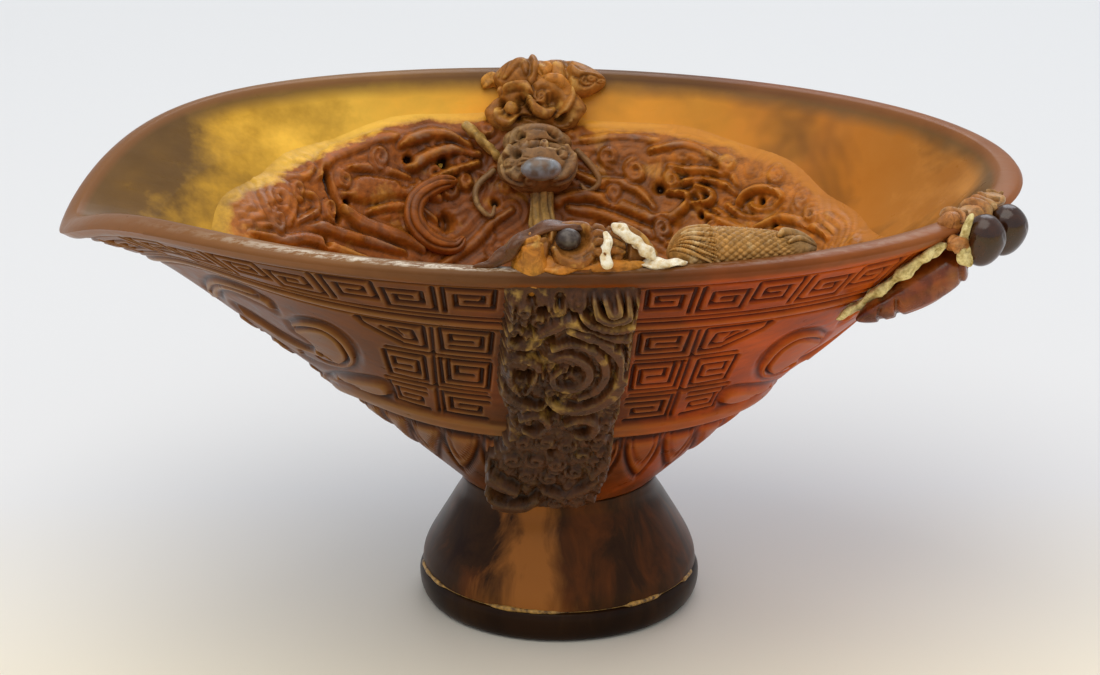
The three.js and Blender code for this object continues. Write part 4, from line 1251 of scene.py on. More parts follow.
# %% Strokes of the flange
flange_bands = [
    ([(-11, 41), (-10.8, 45), (-8, 47), (-5, 45.5), (-3.6, 42)],
     [.5, .9, 1.0, .9, .5], 1.0, 1.1),
    ([(-11, 43), (-10.3, 39), (-8.6, 35.5), (-6, 33.5), (-3, 33)],
     [.5, .8, .9, .8, .4], 1.0, 1.0),
    ([(-8.8, 43.5), (-8.6, 40), (-6.8, 37)],
     [.4, .7, .4], 1.2, .9),
    ([(-4.6, 43), (-5.0, 40), (-5.8, 37.5)],
     [.4, .7, .4], 1.2, .9),
    ([(-5.6, 53.8), (-3, 56), (-.2, 57.5), (2.6, 56.3), (5.4, 54.4), (8.5, 53.2), (10.8, 53.6)],
     [.6, .9, 1.1, 1.1, 1.0, .9, .5], 1.5, 1.2),
    ([(1.4, 59.5), (3.2, 57.2), (6.4, 55.7), (9.4, 56.2), (11.0, 59), (10.8, 61.5)],
     [.5, .8, .9, .9, .8, .4], 1.4, 1.2),
    ([(3.4, 61.3), (4.3, 59.3), (6.6, 57.9), (9.0, 59.0), (9.0, 61.5)],
     [.4, .7, .8, .7, .4], 1.8, 1.2),
    ([(5.2, 61.2), (6.4, 59.7), (7.6, 60.4), (7.2, 61.8)],
     [.4, .6, .5, .3], 2.0, 1.0),
    ([(-.5, 56.0), (3.5, 53.5), (7.0, 50.5), (9.3, 46), (9.2, 40.5), (7.2, 35.8), (3.6, 33.4),
      (0, 33.8), (-2.4, 36.2)],
     [.6, .9, 1.0, 1.1, 1.2, 1.1, 1.0, .8, .4], 1.8, 1.3),
    ([(-2.6, 50.5), (.2, 52), (3.4, 50.6), (5.8, 47.2), (6.6, 43.2), (5.4, 39), (2.6, 36.8)],
     [.5, .8, .9, .9, .9, .8, .4], 1.5, 1.2),
    ([(-2.8, 47.6), (-.4, 48.8), (2.0, 47.6), (3.8, 44.8), (3.6, 41.4), (1.4, 39.4), (-1.2, 40.2),
      (-2.0, 42.6), (-.8, 44.6)],
     [.4, .7, .8, .8, .8, .8, .7, .6, .3], 1.7, 1.1),
    ([(-4.6, 51.5), (-7, 50), (-9.5, 50.8), (-10.8, 53), (-9.6, 55)],
     [.4, .7, .8, .7, .4], .9, 1.0),
    ([(9.8, 50), (10.6, 47), (10.4, 43)],
     [.4, .8, .5], .3, .9),
    ([(-11.2, 17.7), (-10.9, 14.6), (-9.6, 11.9), (-7.4, 9.8), (-4.8, 8.4)],
     [.5, .8, .9, .8, .4], 1.6, 1.4),
    ([(-9.4, 7.2), (-8.4, 4.9), (-5.8, 3.7), (-3.2, 4.3), (-1.6, 6.4)],
     [.5, .8, .9, .8, .5], 1.9, 1.4),
    ([(-1.0, 9), (2.0, 7.4), (5.4, 8.6), (7.6, 11.8)],
     [.4, .8, .8, .4], 1.0, 1.1),
    ([(9.8, 31), (10.2, 25), (9.4, 18), (6.6, 12.2)],
     [.5, .8, .8, .4], .8, 1.0),
    ([(-10.6, 31), (-10.8, 26), (-9.8, 22)],
     [.4, .8, .4], .8, 1.0),
    ([(-6.4, 29.5), (-3.6, 31), (-1.6, 28.4), (-3.2, 25.6), (-5.6, 26.6)],
     [.3, .7, .8, .7, .3], 1.2, 1.0),
    ([(1.2, 28.6), (3.8, 30), (6.2, 28.2), (5.4, 25.2), (3.0, 25.2)],
     [.3, .7, .8, .7, .3], 1.2, 1.0),
]
flange_curls = [
    (-8.1, 59.0, 1.5, 1), (-10.2, 57.2, 1.2, -1), (-9.0, 53.6, 1.4, 1), (-5.2, 56.6, 1.3, -1),
    (-6.6, 52.0, 1.3, 1), (-9.8, 49.0, 1.2, -1), (-2.4, 59.8, 1.4, 1), (0.6, 61.0, 1.2, -1),
    (7.1, 22.6, 1.3, 1), (8.0, 27.4, 1.1, -1), (-8.4, 20.5, 1.5, 1), (-5.0, 21.6, 1.3, -1),
    (-1.6, 22.2, 1.4, 1), (2.0, 21.2, 1.4, -1), (4.6, 18.2, 1.4, 1), (-6.4, 16.4, 1.5, -1),
    (-2.8, 16.6, 1.4, 1), (0.8, 15.6, 1.3, -1), (3.8, 13.4, 1.3, 1), (-3.8, 12.2, 1.3, -1),
    (-0.2, 11.6, 1.2, 1), (7.6, 16.2, 1.2, -1), (-8.0, 27.2, 1.3, 1), (8.4, 33.4, 1.2, -1),
    (-10, 36.4, 1.0, 1), (1.8, 4.6, 1.3, 1), (4.8, 5.8, 1.2, -1), (-5.6, 6.6, 0.9, 1),
    (-.4, 44.0, 1.0, 1), (6.9, 46.6, 0.9, -1)]
flange_holes = [
    (-2.2, 60.6, .9), (-4.7, 58.5, 1.1), (-10.6, 55.4, 1.1), (-6.9, 60.8, .7), (-6.7, 54.4, .9),
    (-8.4, 51.6, .8), (1.6, 43.6, 1.1), (-.2, 37.8, .8), (-6.6, 41.6, 1.3), (-1.2, 31, 1.0),
    (5.6, 31.4, .9), (-8.8, 23.4, .9), (-.3, 18.6, .7), (5.9, 22.0, .7), (-7.0, 6.2, 1.5),
    (-3.4, 51.6, 1.0), (3.8, 51.9, .9), (8.0, 50.8, .8), (-7.6, 31.4, .9), (2.6, 26.9, .7),
    (-3.6, 28.2, .7), (-9.9, 13.2, .6), (7.6, 57.0, .7)]


print(len(flange_bands), "bands and", len(flange_curls), "curls on each flange")

# %% [markdown]
# The boss and the shell swell out of the ground first. Small seeded curls fill the
# ground, and the named strokes go on top, so the eye finds the large forms.

# %% Flange surface
def carve_flange(plan, seed):
    """Pierced ground, small curls, then the large bands of the scroll, boss and shell."""
    chance = np.random.default_rng(seed)
    x, up = plan.across, plan.up
    boss = np.clip(1 - ((x - 2.7) / 7.4) ** 2 - ((up - 44.8) / 11.5) ** 2, 0, 1)
    shell = np.clip(1 - ((x + 8.2) / 4.2) ** 2 - ((up - 40) / 6.5) ** 2, 0, 1)
    plan.height = 0.35 * np.sin(1.9 * x + 0.7 * up) * np.sin(1.3 * up - 0.8 * x)
    plan.height += 1.3 * np.sqrt(boss) + 0.9 * np.sqrt(shell)
    for _ in range(60):
        centre = np.array([chance.uniform(-11, 11), chance.uniform(2, 61)])
        path = spiral(centre, chance.uniform(0.7, 1.4), 0.25, 1.2,
                      chance.uniform(0, 360), chance.choice([-1, 1]), 9)
        plan.band(path, [0.3, 0.42, 0.35], 0.5 + 1.0 * swell(centre[1] - 44, 9), 0.6, 0.35, 0.5)
    for x0, up0, size, hand in flange_curls:
        swollen = 1.2 if abs(up0 - 44) < 8 else 0.9
        ridge = spiral((x0, up0), size * 1.15, 0.3, 1.3, 90 + 70 * hand, hand)
        plan.band(ridge, [0.3, 0.55, 0.5, 0.3], 0.6 * swollen, 0.6, 0.4, 0.45)
    for points, widths, level, proud in flange_bands:
        plan.band(through(points, 5), widths, level, proud, 0.5, 0.3)
    for x0, up0, radius in flange_holes:
        plan.pit((x0, up0), radius, 2.6)
    plan.height = blur(plan.height, 2)
    plan.height += (0.12 * np.sin(5.1 * x + 2.2 * np.sin(1.7 * up))
                    * np.sin(4.3 * up + 1.9 * np.sin(1.3 * x)))


flange_columns, flange_rows = 138, 348
left_table = [0, 3, 8, 14, 20, 27, 34, 62], [5.5, 9.3, 11.2, 11.6, 9.6, 8.6, 11.2, 11.6]
right_table = [0, 3, 8, 14, 26, 36, 62], [6.5, 9.2, 10.4, 10.8, 10.4, 11.6, 11.6]


def flange(name, node, side_y, seed):
    """The plan laid on the wall, with sides that fall steeply along two ragged edge tables."""
    columns, rows = flange_columns, flange_rows
    up_share = np.linspace(0.012, 0.972, rows)
    across = np.linspace(-1, 1, columns)[None, :] * flange_half_width
    share = np.broadcast_to(up_share[:, None], (rows, columns))
    plan = Carving(np.broadcast_to(across, (rows, columns)).copy(), share * wall_run)
    carve_flange(plan, seed)
    wobble = 0.5 * np.sin(0.9 * plan.up) + 0.35 * np.sin(2.3 * plan.up + 1)
    half = np.where(plan.across < 0, np.interp(plan.up, *left_table),
                    np.interp(plan.up, *right_table))
    inward = half - np.abs(plan.across) - np.abs(wobble) * 0.7
    side = soft_step(inward, -0.2, 1.5)
    ends = soft_step(share, 0.012, 0.035) * (1 - 0.75 * soft_step(share, 0.935, 0.972))
    proud = -0.6 + side * ends * np.clip(2.9 + plan.height, 0.2, 5.4)
    middle = -flange_drift * (1 - share)
    turn = turn_at_x(middle + plan.across, share, side_y)
    front = off_wall(turn, share, proud)
    back = off_wall(turn[:, ::16], share[:, ::16], np.full(turn[:, ::16].shape, -0.9))
    loops = np.concatenate([front, back[:, ::-1]], axis=1)
    depth = np.concatenate([depth_field(proud, 10, 0.5), np.full(back.shape[:2], 0.5)], axis=1)
    finish = (flange_horn, "flange_horn", [node])
    return sleeve(name, loops, finish, {"depth": depth}, poles=False)


flange("front_flange_carving", "front_flange", -1, seed=5)
flange("back_flange_carving", "back_flange", 1, seed=6)

# %% [markdown]
# ## Bodies carved all round
#
# Heads, whiskers, knobs and the handle are bars or eggs. A bar follows a path and has
# an elliptic section. An egg is a grid of rings round the axis that faces the viewer.
# Both are unrolled into a plan of millimetres, carved there with the same strokes as
# the walls, and rolled up again.

# %% Lines on the lip and wall
def lip_middle(turn, rise, lean=0.0):
    """Middle of the lip, raised, and leaning in over the hollow along the wall's normal."""
    turn = np.asarray(turn, float)
    outer = off_wall(turn, 1.0, np.full(turn.shape, -lean))
    inner = off_wall(turn, inner_top_share, np.full(turn.shape, -wall - lean))
    return (outer + inner) / 2 + np.array([0, 0, rise])


def lip_path(from_x, to_x, side, rise, lean):
    """The middle of the lip between two places in x, raised, and leaning in."""
    return lip_middle(turn_at_x(np.linspace(from_x, to_x, 9), 1.0, side), rise, lean)


def wall_path(places, distance):
    """Points on the wall from pairs of a turn in degrees and a share, at a distance off it."""
    places = np.asarray(places, float)
    return off_wall(np.radians(places[:, 0]), places[:, 1], np.broadcast_to(distance, len(places)))


def profile(values, places):
    """A smooth curve through values that are spread evenly from 0 to 1."""
    curve = through(np.column_stack([np.linspace(0, 1, len(values)), values]), 8)
    return np.interp(places, curve[:, 0], curve[:, 1])


print("lip middle at turn 0:", lip_middle(0.0, 0.0).round(1))

# %% [markdown]
# A bar is a section carried along a path. Its widths come from short lists, smoothed,
# and its ends close like a half circle.

# %% Bars
def carved_bar(name, path, wide, tall, up, finish, carve=None, rows=90, around=72):
    """A bar with rounded ends; its plan has 0 on the up side and grows towards path x up."""
    fine = through(path, 10)
    run = run_along(fine)
    even = np.linspace(0, 1, rows)
    place = mix(even, (1 - np.cos(math.pi * even)) / 2, 0.6)
    centre = np.stack([np.interp(place * run[-1], run, fine[:, axis]) for axis in range(3)], -1)
    along = unit(np.gradient(centre, place, axis=0))
    side = unit(np.cross(along, np.broadcast_to(up, along.shape)))
    lift = np.cross(side, along)
    cap = min(0.5, max(wide) / run[-1])
    closing = np.sqrt(np.clip(1 - np.clip(1 - np.minimum(place, 1 - place) / cap, 0, 1) ** 2, 0, 1))
    half_wide = profile(wide, place) * closing + 0.02
    half_tall = profile(tall, place) * closing + 0.02
    angle = np.linspace(-math.pi, math.pi, around, endpoint=False)
    mean = (max(wide) + max(tall)) / 2
    across, way_round = np.broadcast_arrays((place * run[-1])[:, None], angle[None, :] * mean)
    plan = Carving(across.copy(), way_round.copy())
    if carve:
        carve(plan)
    relief = plan.height * closing[:, None]
    sine, cosine = np.sin(angle)[None, :, None], np.cos(angle)[None, :, None]
    half_wide, half_tall = half_wide[:, None, None], half_tall[:, None, None]
    side, lift = side[:, None], lift[:, None]
    normal = unit(sine * half_tall * side + cosine * half_wide * lift)
    loops = (centre[:, None] + sine * (half_wide * side) + cosine * (half_tall * lift)
             + relief[..., None] * normal)
    return sleeve(name, loops, finish, {"depth": depth_field(relief, 6, 0.9)})


print("bars ready")

# %% [markdown]
# An egg suits what is seen from one side, such as a face: its pole looks at the viewer,
# and the plan is measured from there.

# %% Eggs
def carved_egg(name, centre, facing, up, halves, finish, carve=None, rings=56, around=96):
    """An egg whose plan is spread from the pole that faces the viewer: across and up from it."""
    facing = unit(np.asarray(facing, float))
    right = unit(np.cross(up, facing))
    upward = np.cross(facing, right)
    half_right, half_up, _ = halves
    fall = np.linspace(0.03, math.pi - 0.03, rings)[:, None]
    angle = once_round(around)[None, :]
    local = [np.sin(fall) * np.cos(angle), np.sin(fall) * np.sin(angle), np.cos(fall) + 0 * angle]
    spread = fall / np.sin(np.minimum(fall, math.pi / 2))
    plan = Carving(local[0] * spread * half_right, local[1] * spread * half_up)
    if carve:
        carve(plan)
    fade = soft_step(math.pi - fall, 0.1, 0.9)
    relief = plan.height * fade
    sides = list(zip(local, halves, (right, upward, facing)))
    body = sum(part[..., None] * half * axis for part, half, axis in sides)
    normal = unit(sum(part[..., None] / half * axis for part, half, axis in sides))
    loops = np.asarray(centre) + body + relief[..., None] * normal
    return sleeve(name, loops, finish, {"depth": depth_field(relief, 6, 0.9)})


print("eggs ready")

# %% [markdown]
# Old horn is never smooth. Low lumps and small curls in seeded places keep any two
# pieces from looking alike, and a seed keeps each render the same.

# %% Lumps and small curls
def roughen(plan, size, amount, seed):
    """Low lumps: three waves with seeded directions, so no two pieces look alike."""
    chance = np.random.default_rng(seed)
    for _ in range(5):
        heading, phase = chance.uniform(0, math.pi), chance.uniform(0, 6)
        pitch = size * chance.uniform(0.7, 1.4)
        flow = plan.across * math.cos(heading) + plan.up * math.sin(heading)
        sway = 1.5 * np.sin(plan.up / (2.3 * pitch) - phase)
        plan.height += amount * np.sin(flow / pitch + phase + sway)


def sprinkle(plan, count, low, high, level, proud, seed, size=(0.6, 1.3)):
    """Small curls in seeded places between two corners of the plan."""
    chance = np.random.default_rng(seed)
    for _ in range(count):
        centre = (chance.uniform(low[0], high[0]), chance.uniform(low[1], high[1]))
        path = spiral(centre, chance.uniform(*size), 0.25, 1.3,
                      chance.uniform(0, 360), chance.choice([-1, 1]), 9)
        plan.band(path, [0.28, 0.4, 0.32], level, proud, 0.35, 0.4)


up_axis = np.array([0, 0, 1.0])
print("lumps and small curls ready")

# %% [markdown]
# ## Smaller finishes
#
# The smaller pieces are cut from many horns, and each gets its own colours in the same
# recipe. The crests are brown horn with golden places and a painted milky sheen on the
# ridges. The thin rods are clear yellow horn. The bead of the eye is nearly black with a
# grey bloom, and the pearl on the snout is worn grey-blue horn. The glue is old, pale,
# brittle resin that stood out of the joints.

# %% Small horn finishes
crest_horn = carved_horn(
    "carved_brown_horn",
    [(0, "9A6224"), (0.42, "A0641E"), (0.5, "8A521C"), (0.57, "96622C"), (0.66, "A0703A"),
     (1, "8A5C36")],
    stain="180B05", wear_and_highlight="E0AC58", painted_sheen="8C7C70", painted_sheen_share=0.45, roughness=0.32, grain=1.8)
strap_horn = carved_horn(
    "smooth_dark_horn",
    [(0, "6A3E1A"), (0.5, "643A18"), (1, "74441E")],
    stain="1A0C05", wear_and_highlight="A8763E", painted_sheen="7A6A5E", painted_sheen_share=0.15, roughness=0.28, grain=2.6,
    shine=0.3)
gold_horn = carved_horn(
    "golden_translucent_horn",
    [(0, "D8A040"), (0.42, "CC8C34"), (0.5, "C07A2C"), (1, "D8A848")],
    stain="3A1C0C", wear_and_highlight="F0CC78", painted_sheen="C0A070", painted_sheen_share=0.3, roughness=0.3, grain=1.6)
far_horn = carved_horn(
    "golden_brown_horn",
    [(0, "A86E2A"), (0.45, "A4692A"), (0.55, "B07430"), (1, "B87A34")],
    stain="220F06", wear_and_highlight="E4B058", painted_sheen="8A7264", painted_sheen_share=0.5, roughness=0.36, grain=2.6)
tan_horn = carved_horn(
    "tan_scaled_horn",
    [(0, "C08C4A"), (0.6, "BC8844"), (0.8, "BC8C4C"), (0.9, "9A7C56"), (1, "847056")],
    stain="4A2C12", wear_and_highlight="ECD09A", painted_sheen="9A8A70", painted_sheen_share=0.4, roughness=0.38, grain=1.4)
head_horn = carved_horn(
    "taupe_horn",
    [(0, "987044"), (0.4, "90704A"), (0.55, "8C6238"), (1, "94642E")],
    stain="1C0D05", wear_and_highlight="D8B070", painted_sheen="94887C", painted_sheen_share=0.65, roughness=0.36, grain=1.8)
yellow_horn = carved_horn(
    "clear_yellow_horn",
    [(0, "C09A50"), (0.5, "B08A48"), (1, "C09A50")],
    stain="5A3A18", wear_and_highlight="D8B870", painted_sheen="8C7A66", painted_sheen_share=0.5, roughness=0.34, grain=1.6)
handle_horn = carved_horn(
    "red_brown_horn",
    [(0, "6A3014"), (0.7, "64280E"), (0.88, "5A220C"), (0.93, "944812"), (1, "702C0E")],
    stain="1A0804", wear_and_highlight="B0703A", painted_sheen="7A5A44", painted_sheen_share=0.2, roughness=0.26, grain=5.0,
    shine=0.4)
petal_horn = carved_horn(
    "tan_petal_horn",
    [(0, "B87C44"), (0.94, "B8783E"), (1, "B88850")],
    stain="4A220C", wear_and_highlight="E6C690", painted_sheen="B8A084", painted_sheen_share=0.5, roughness=0.32, grain=1.4)
knob_horn = carved_horn(
    "black_brown_horn",
    [(0, "46200C"), (0.5, "3E1C0A"), (0.95, "542A12"), (1, "3A1E0E")],
    stain="120804", wear_and_highlight="6A4228", painted_sheen="5E5450", painted_sheen_share=0.3, roughness=0.14, grain=4.0,
    shine=0.5)


print("horn for small pieces:", crest_horn.name, "and nine more")

# %% [markdown]
# The bead, the pearl and the glue have no streaks or wear, so each is a few nodes: one
# noise that picks between a few colours, and a shine.

# %% Bead, pearl and glue
def bead_material():
    """A nearly black bead, greyish where its surface is bruised: two colours mixed by noise."""
    material, add, place = new_material("polished_slate_bead")
    cloud = add("TexNoise", {"Vector": place, "Scale": 1 / (1.6 * MM), "Detail": 3})
    bloom = add("MapRange", [cloud, 0.46, 0.66, 0, 0.75])
    colour = add("MixRGB", [bloom, "32241E", "6E645C"])
    shader = add("BsdfPrincipled", {"Base Color": colour, "Roughness": 0.4, "Coat Weight": 0.15,
        "Coat Roughness": 0.2})
    add("OutputMaterial", [shader])
    return material


def pearl_material():
    """Horn worn smooth, in soft patches from brown through grey-blue to pale."""
    material, add, place = new_material("milky_grey_horn")
    cloud = add("TexNoise", {"Vector": place, "Scale": 1 / (2.6 * MM), "Detail": 4})
    colour = add("ValToRGB", [cloud], [(0.34, "6E543C"), (0.45, "74706C"), (0.56, "8E949C"),
        (0.72, "B4ACA0")])
    shader = add("BsdfPrincipled", {"Base Color": colour, "Roughness": 0.34, "Coat Weight": 0.3,
        "Coat Roughness": 0.2})
    add("OutputMaterial", [shader])
    return material


def glue_material(name, pale, deep, roughness):
    """Dried resin: pale and chalky on top, yellower and dirtier in its hollows."""
    material, add, place = new_material(name)
    grit = add("TexNoise", {"Vector": place, "Scale": 1 / (1.1 * MM), "Detail": 5,
        "Roughness": 0.65})
    stain = add("MapRange", [grit, 0.34, 0.62, 1, 0])
    colour = add("MixRGB", [stain, pale, deep])
    bump = add("Bump", {"Height": grit, "Strength": 0.5, "Distance": 0.3 * MM})
    shader = add("BsdfPrincipled", {"Base Color": colour, "Roughness": roughness, "Normal": bump})
    add("OutputMaterial", [shader])
    return material


slate_bead = bead_material()
milky_horn = pearl_material()
cream_glue = glue_material("old_cream_resin", "FBF5E0", "DCC08A", 0.5)
aged_glue = glue_material("yellowed_resin", "F4E4A4", "A8924E", 0.5)
seam_glue = glue_material("gold_brown_resin", "C89A4A", "3A2010", 0.4)
print("small finishes ready")

# %% [markdown]
# ## The near crest
#
# A dragon's head lies along the near lip above the flange. A dark smooth strap rises from
# the lip at its left and runs on over the brow. Below it come a block of golden horn with
# one curl, a hooded eye with the bead, ridged blocks, and then thick pale glue that runs
# down to the lip. The head leans in over the hollow. It could be modelled as one lump,
# but a bar whose widths change from place to place keeps each block a piece of its own.

# %% Near crest
crest_lean = 4.5
front_crest_x = (-11.4, 14.5)
front_crest_rise, front_crest_radius = -0.3, 5.4
front_crest_shares = [0.32, 0.66, 0.86, 0.96, 1, 1, 0.88, 0.64, 0.42, 0.26]
crest_finish = (crest_horn, "crest_horn", ["front_crest"])
gold_finish = (gold_horn, "crest_horn", ["front_crest"])
strap_finish = (strap_horn, "crest_horn", ["front_crest"])


def crest_x(x):
    """From the cup's x to the way along the crest."""
    return x - front_crest_x[0]


def carve_front_crest(plan):
    """Block, hooded socket and ridged blocks; the viewer's side is at positive up."""
    roughen(plan, 2.0, 0.14, 3)
    plan.pit((crest_x(-0.9), 3.2), 3.2, 1.9)
    for x, depth in ((-4.6, 1.1), (2.8, 1.0), (5.2, 0.8), (7.8, 1.2)):
        plan.groove(through([(crest_x(x), -3), (crest_x(x) + 0.3, 3), (crest_x(x), 9)]),
                    0.55, depth)
    hood = [(crest_x(-0.9) + 3.6 * math.cos(angle), 3.2 + 3.4 * math.sin(angle))
            for angle in np.linspace(math.pi, 2 * math.pi, 9)]
    plan.band(hood, [0.3, 0.8, 1.0, 0.8, 0.3], 0.1, 0.6, 0.6, 0.3)
    brow = [(crest_x(-4.0), 5), (crest_x(-2.5), 7.4), (crest_x(0.5), 7.8), (crest_x(2.6), 6)]
    plan.band(through(brow), [0.4, 0.9, 0.9, 0.4], 0.0, 0.6, 0.7, 0.5)
    for up in (0.4, 2.2, 4.0, 5.8):
        plan.band([(crest_x(3.3), up), (crest_x(4.8), up + 0.2)], [0.85, 0.75], 0.1, 0.5, 0.45, 0.5)
    for up in (0.0, 1.8, 3.6, 5.4):
        plan.band([(crest_x(5.7), up), (crest_x(7.3), up + 0.4)], [0.85, 0.65],
                  0.15, 0.5, 0.45, 0.5)
    plan.band(through([(crest_x(-9.5), 1), (crest_x(-7.8), 3.8), (crest_x(-5.4), 3.2)]),
              [0.3, 0.9, 0.4], 0.1, 0.5, 0.6, 0.5)
    plan.height = blur(plan.height, 2)


crest_line = lip_path(*front_crest_x, -1, front_crest_rise, crest_lean)
front_radii = [share * front_crest_radius - 0.35 for share in front_crest_shares]
carved_bar("front_crest_head", crest_line, front_radii, front_radii, up_axis, crest_finish,
           carve_front_crest, rows=190, around=150)


def carve_gold_block(plan):
    """One curl beside a short upright groove."""
    roughen(plan, 1.6, 0.14, 8)
    plan.band(spiral((3.4, 0.4), 1.7, 0.4, 1.1, 200, -1), [0.35, 0.6, 0.6, 0.4],
              0.1, 0.55, 0.4, 0.35)
    plan.groove([(1.2, -3), (1.4, 4)], 0.35, 0.4)
    plan.height = blur(plan.height, 1)


block_line = lip_path(-10.8, -3.6, -1, -0.2, 2.0)
carved_bar("front_crest_golden_block", block_line, [2.6, 3.4, 3.5, 3.0], [3.6, 5.0, 5.4, 4.6],
           up_axis, gold_finish, carve_gold_block, rows=90, around=110)


def carve_ledge(plan):
    """Worn unevenness in two sizes, with no strokes."""
    roughen(plan, 1.1, 0.16, 5)
    roughen(plan, 0.5, 0.06, 6)


strap_turns = turn_at_x([-17.4, -14.2, -11.8, -9.8, -7.0, -3.6, 0.0, 3.4], 1.0, -1)
strap_lean = np.array([0.4, 0.8, 1.4, 1.8, 2.6, 3.6, 4.2, 4.4])
strap_line = lip_middle(strap_turns, 0.0) - strap_lean[:, None] * wall_out(strap_turns, 1.0)
strap_line[:, 2] += [0.3, 0.6, 2.0, 3.9, 4.9, 5.0, 4.8, 4.2]
carved_bar("front_crest_strap", strap_line, [0.4, 1.2, 1.6, 1.7, 1.6, 1.5, 1.3, 0.8],
           [0.3, 0.8, 1.0, 1.0, 0.9, 0.8, 0.7, 0.4], up_axis, strap_finish, carve_ledge,
           rows=120, around=48)

ledge_line = lip_path(-9.8, 12.5, -1, 0.8, 0.8)
carved_bar("front_crest_ledge", ledge_line, [0.8, 1.8, 2.1, 2.2, 2.0, 1.6, 0.6],
           [0.5, 1.1, 1.4, 1.3, 1.4, 1.1, 0.4], up_axis, gold_finish, carve_ledge,
           rows=150, around=56)

bead_place = np.array(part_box("front_crest_bead")).mean(0) / MM
carved_egg("front_crest_eye", bead_place + [0, 0.4, -1.2], (0, -0.93, 0.36), up_axis,
           (2.15, 1.85, 1.6), (slate_bead, "slate_bead", ["front_crest_bead"]), rings=28, around=40)

# %% [markdown]
# The glue is a set of lumpy strips. Their width wanders and small holes are left in
# them, as in resin that was pushed out of a joint and then set hard.

# %% Glue on the near crest
glue_finish = (cream_glue, "cream_adhesive", ["front_crest_filler"])


def glue_lumps(seed, holes):
    """A carving that only roughens, with a few small air holes."""
    def carve(plan):
        """Roughens, then drills holes in seeded places."""
        roughen(plan, 0.5, 0.1, seed)
        chance = np.random.default_rng(seed)
        for _ in range(holes):
            place = (chance.uniform(plan.across.min(), plan.across.max()),
                     chance.uniform(-1.0, 1.4))
            plan.pit(place, chance.uniform(0.25, 0.5), 0.5)
    return carve


glue_low, glue_high = [np.array(corner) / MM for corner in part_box("front_crest_filler")]
glue_top = np.array([glue_low[0] + 0.8, glue_high[1] - 1.0, glue_high[2] - 0.7])
glue_end = np.array([glue_high[0] - 0.8, glue_low[1] + 1.0, glue_low[2] + 0.7])
glue_middle = mix(glue_top, glue_end, 0.5)
drop = glue_top + [-1.0, -1.8, -0.6]
for name, path, wide, tall, lumps, grid in (
        ("strip", [glue_top, glue_middle + [0, -0.4, 0.5], glue_end],
         [1.0, 1.5, 1.2, 1.5, 0.9], [0.8, 1.1, 0.8, 1.0, 0.7], (51, 6), (80, 40)),
        ("drop", [drop, drop + [0.0, -2.2, -2.8], drop + [0.2, -3.2, -5.6]],
         [0.7, 0.8, 0.9, 1.1], [0.5, 0.6, 0.6, 0.7], (52, 5), (50, 32)),
        ("spread", lip_path(glue_end[0] - 2.6, glue_end[0] + 6.0, -1, 0.9, 0.8),
         [0.6, 1.7, 1.5, 0.5], [0.3, 0.7, 0.6, 0.3], (53, 3), (50, 32))):
    carved_bar("front_crest_glue_" + name, path, wide, tall, up_axis, glue_finish,
               glue_lumps(*lumps), *grid)
slip_line = [glue_top + [0.9, 0.2, 0.1], glue_middle + [1.1, 0.5, 0.6], glue_end + [0.2, 0.9, 0.2]]
carved_bar("front_crest_brown_slip", slip_line, [0.5, 0.7, 0.6], [0.6, 0.8, 0.5], up_axis,
           crest_finish, rows=40, around=24)

# %% [markdown]
# ## The scaled body
#
# From the crest a dragon's body runs to the right along the inside of the near lip. Its
# scales are small diamonds: two families of slanting lines cross, and between them each
# cell swells. Strands of hair spread over its left end.

# %% Scaled body
body_x = (16.6, 43)
body_radius = 4.2
body_shares = [0.75, 1, 1, 0.92, 0.8, 0.62, 0.35]
body_lift_shares = np.array([0.8, 0.8, 0.62, 0.34])


def carve_scales(plan):
    """Diamond cells from two families of lines; hair at the start and a smooth curl at the end."""
    pitch = 1.25
    first = math.pi * (plan.across * 0.8 + plan.up) / pitch
    second = math.pi * (plan.across * 0.8 - plan.up) / pitch
    cells = np.sqrt(np.abs(np.sin(first) * np.sin(second)))
    scaly = soft_step(plan.across, 2, 5) * (1 - soft_step(plan.across, 19, 23))
    plan.height += scaly * (0.45 * cells - 0.25)
    for start in np.linspace(-3.5, 5.0, 10):
        hair = through([(0.3, 0.5 + 0.5 * start), (3.5, start), (7.5, 1.35 * start + 0.4)])
        plan.band(hair, [0.45, 0.4, 0.12], 0.05, 0.45, 0.3, 0.35)
    plan.band(through([(19, 1.5), (21, -0.8), (24, -1.2), (26.5, 0.8)]),
              [0.4, 1.0, 1.1, 0.4], 0.1, 0.9, 0.5, 0.4)
    plan.band(through([(20.5, 3.2), (23, 1.6), (26, 2.6)]), [0.3, 0.7, 0.3], 0.1, 0.6, 0.4, 0.4)


body_turns = turn_at_x(np.linspace(*body_x, 4), 0.95, -1)
body_line = off_wall(body_turns, 0.95, -wall - body_radius * body_lift_shares)
body_radii = [share * body_radius - 0.2 for share in body_shares]
carved_bar("rim_dragon_scales", body_line, body_radii, body_radii, up_axis,
           (tan_horn, "crest_horn", ["rim_dragon_body"]), carve_scales, rows=260, around=130)

# %% [markdown]
# ## The far head
#
# Opposite, a larger head rises over the far lip and hangs down inside, facing the
# viewer: a ridged brow, a golden arch over one eye, a round eye, lips and dark hollows.

# %% Far head
back_crest_x = (-11.6, 10.5)
back_crest_fall, back_crest_radius = 2.5, 4.6
back_crest_shares = [0.55, 0.92, 1, 0.84, 0.78, 0.78, 0.7, 0.6]
far_finish = (far_horn, "crest_horn", ["back_crest"])
far_gold = (gold_horn, "crest_horn", ["back_crest"])


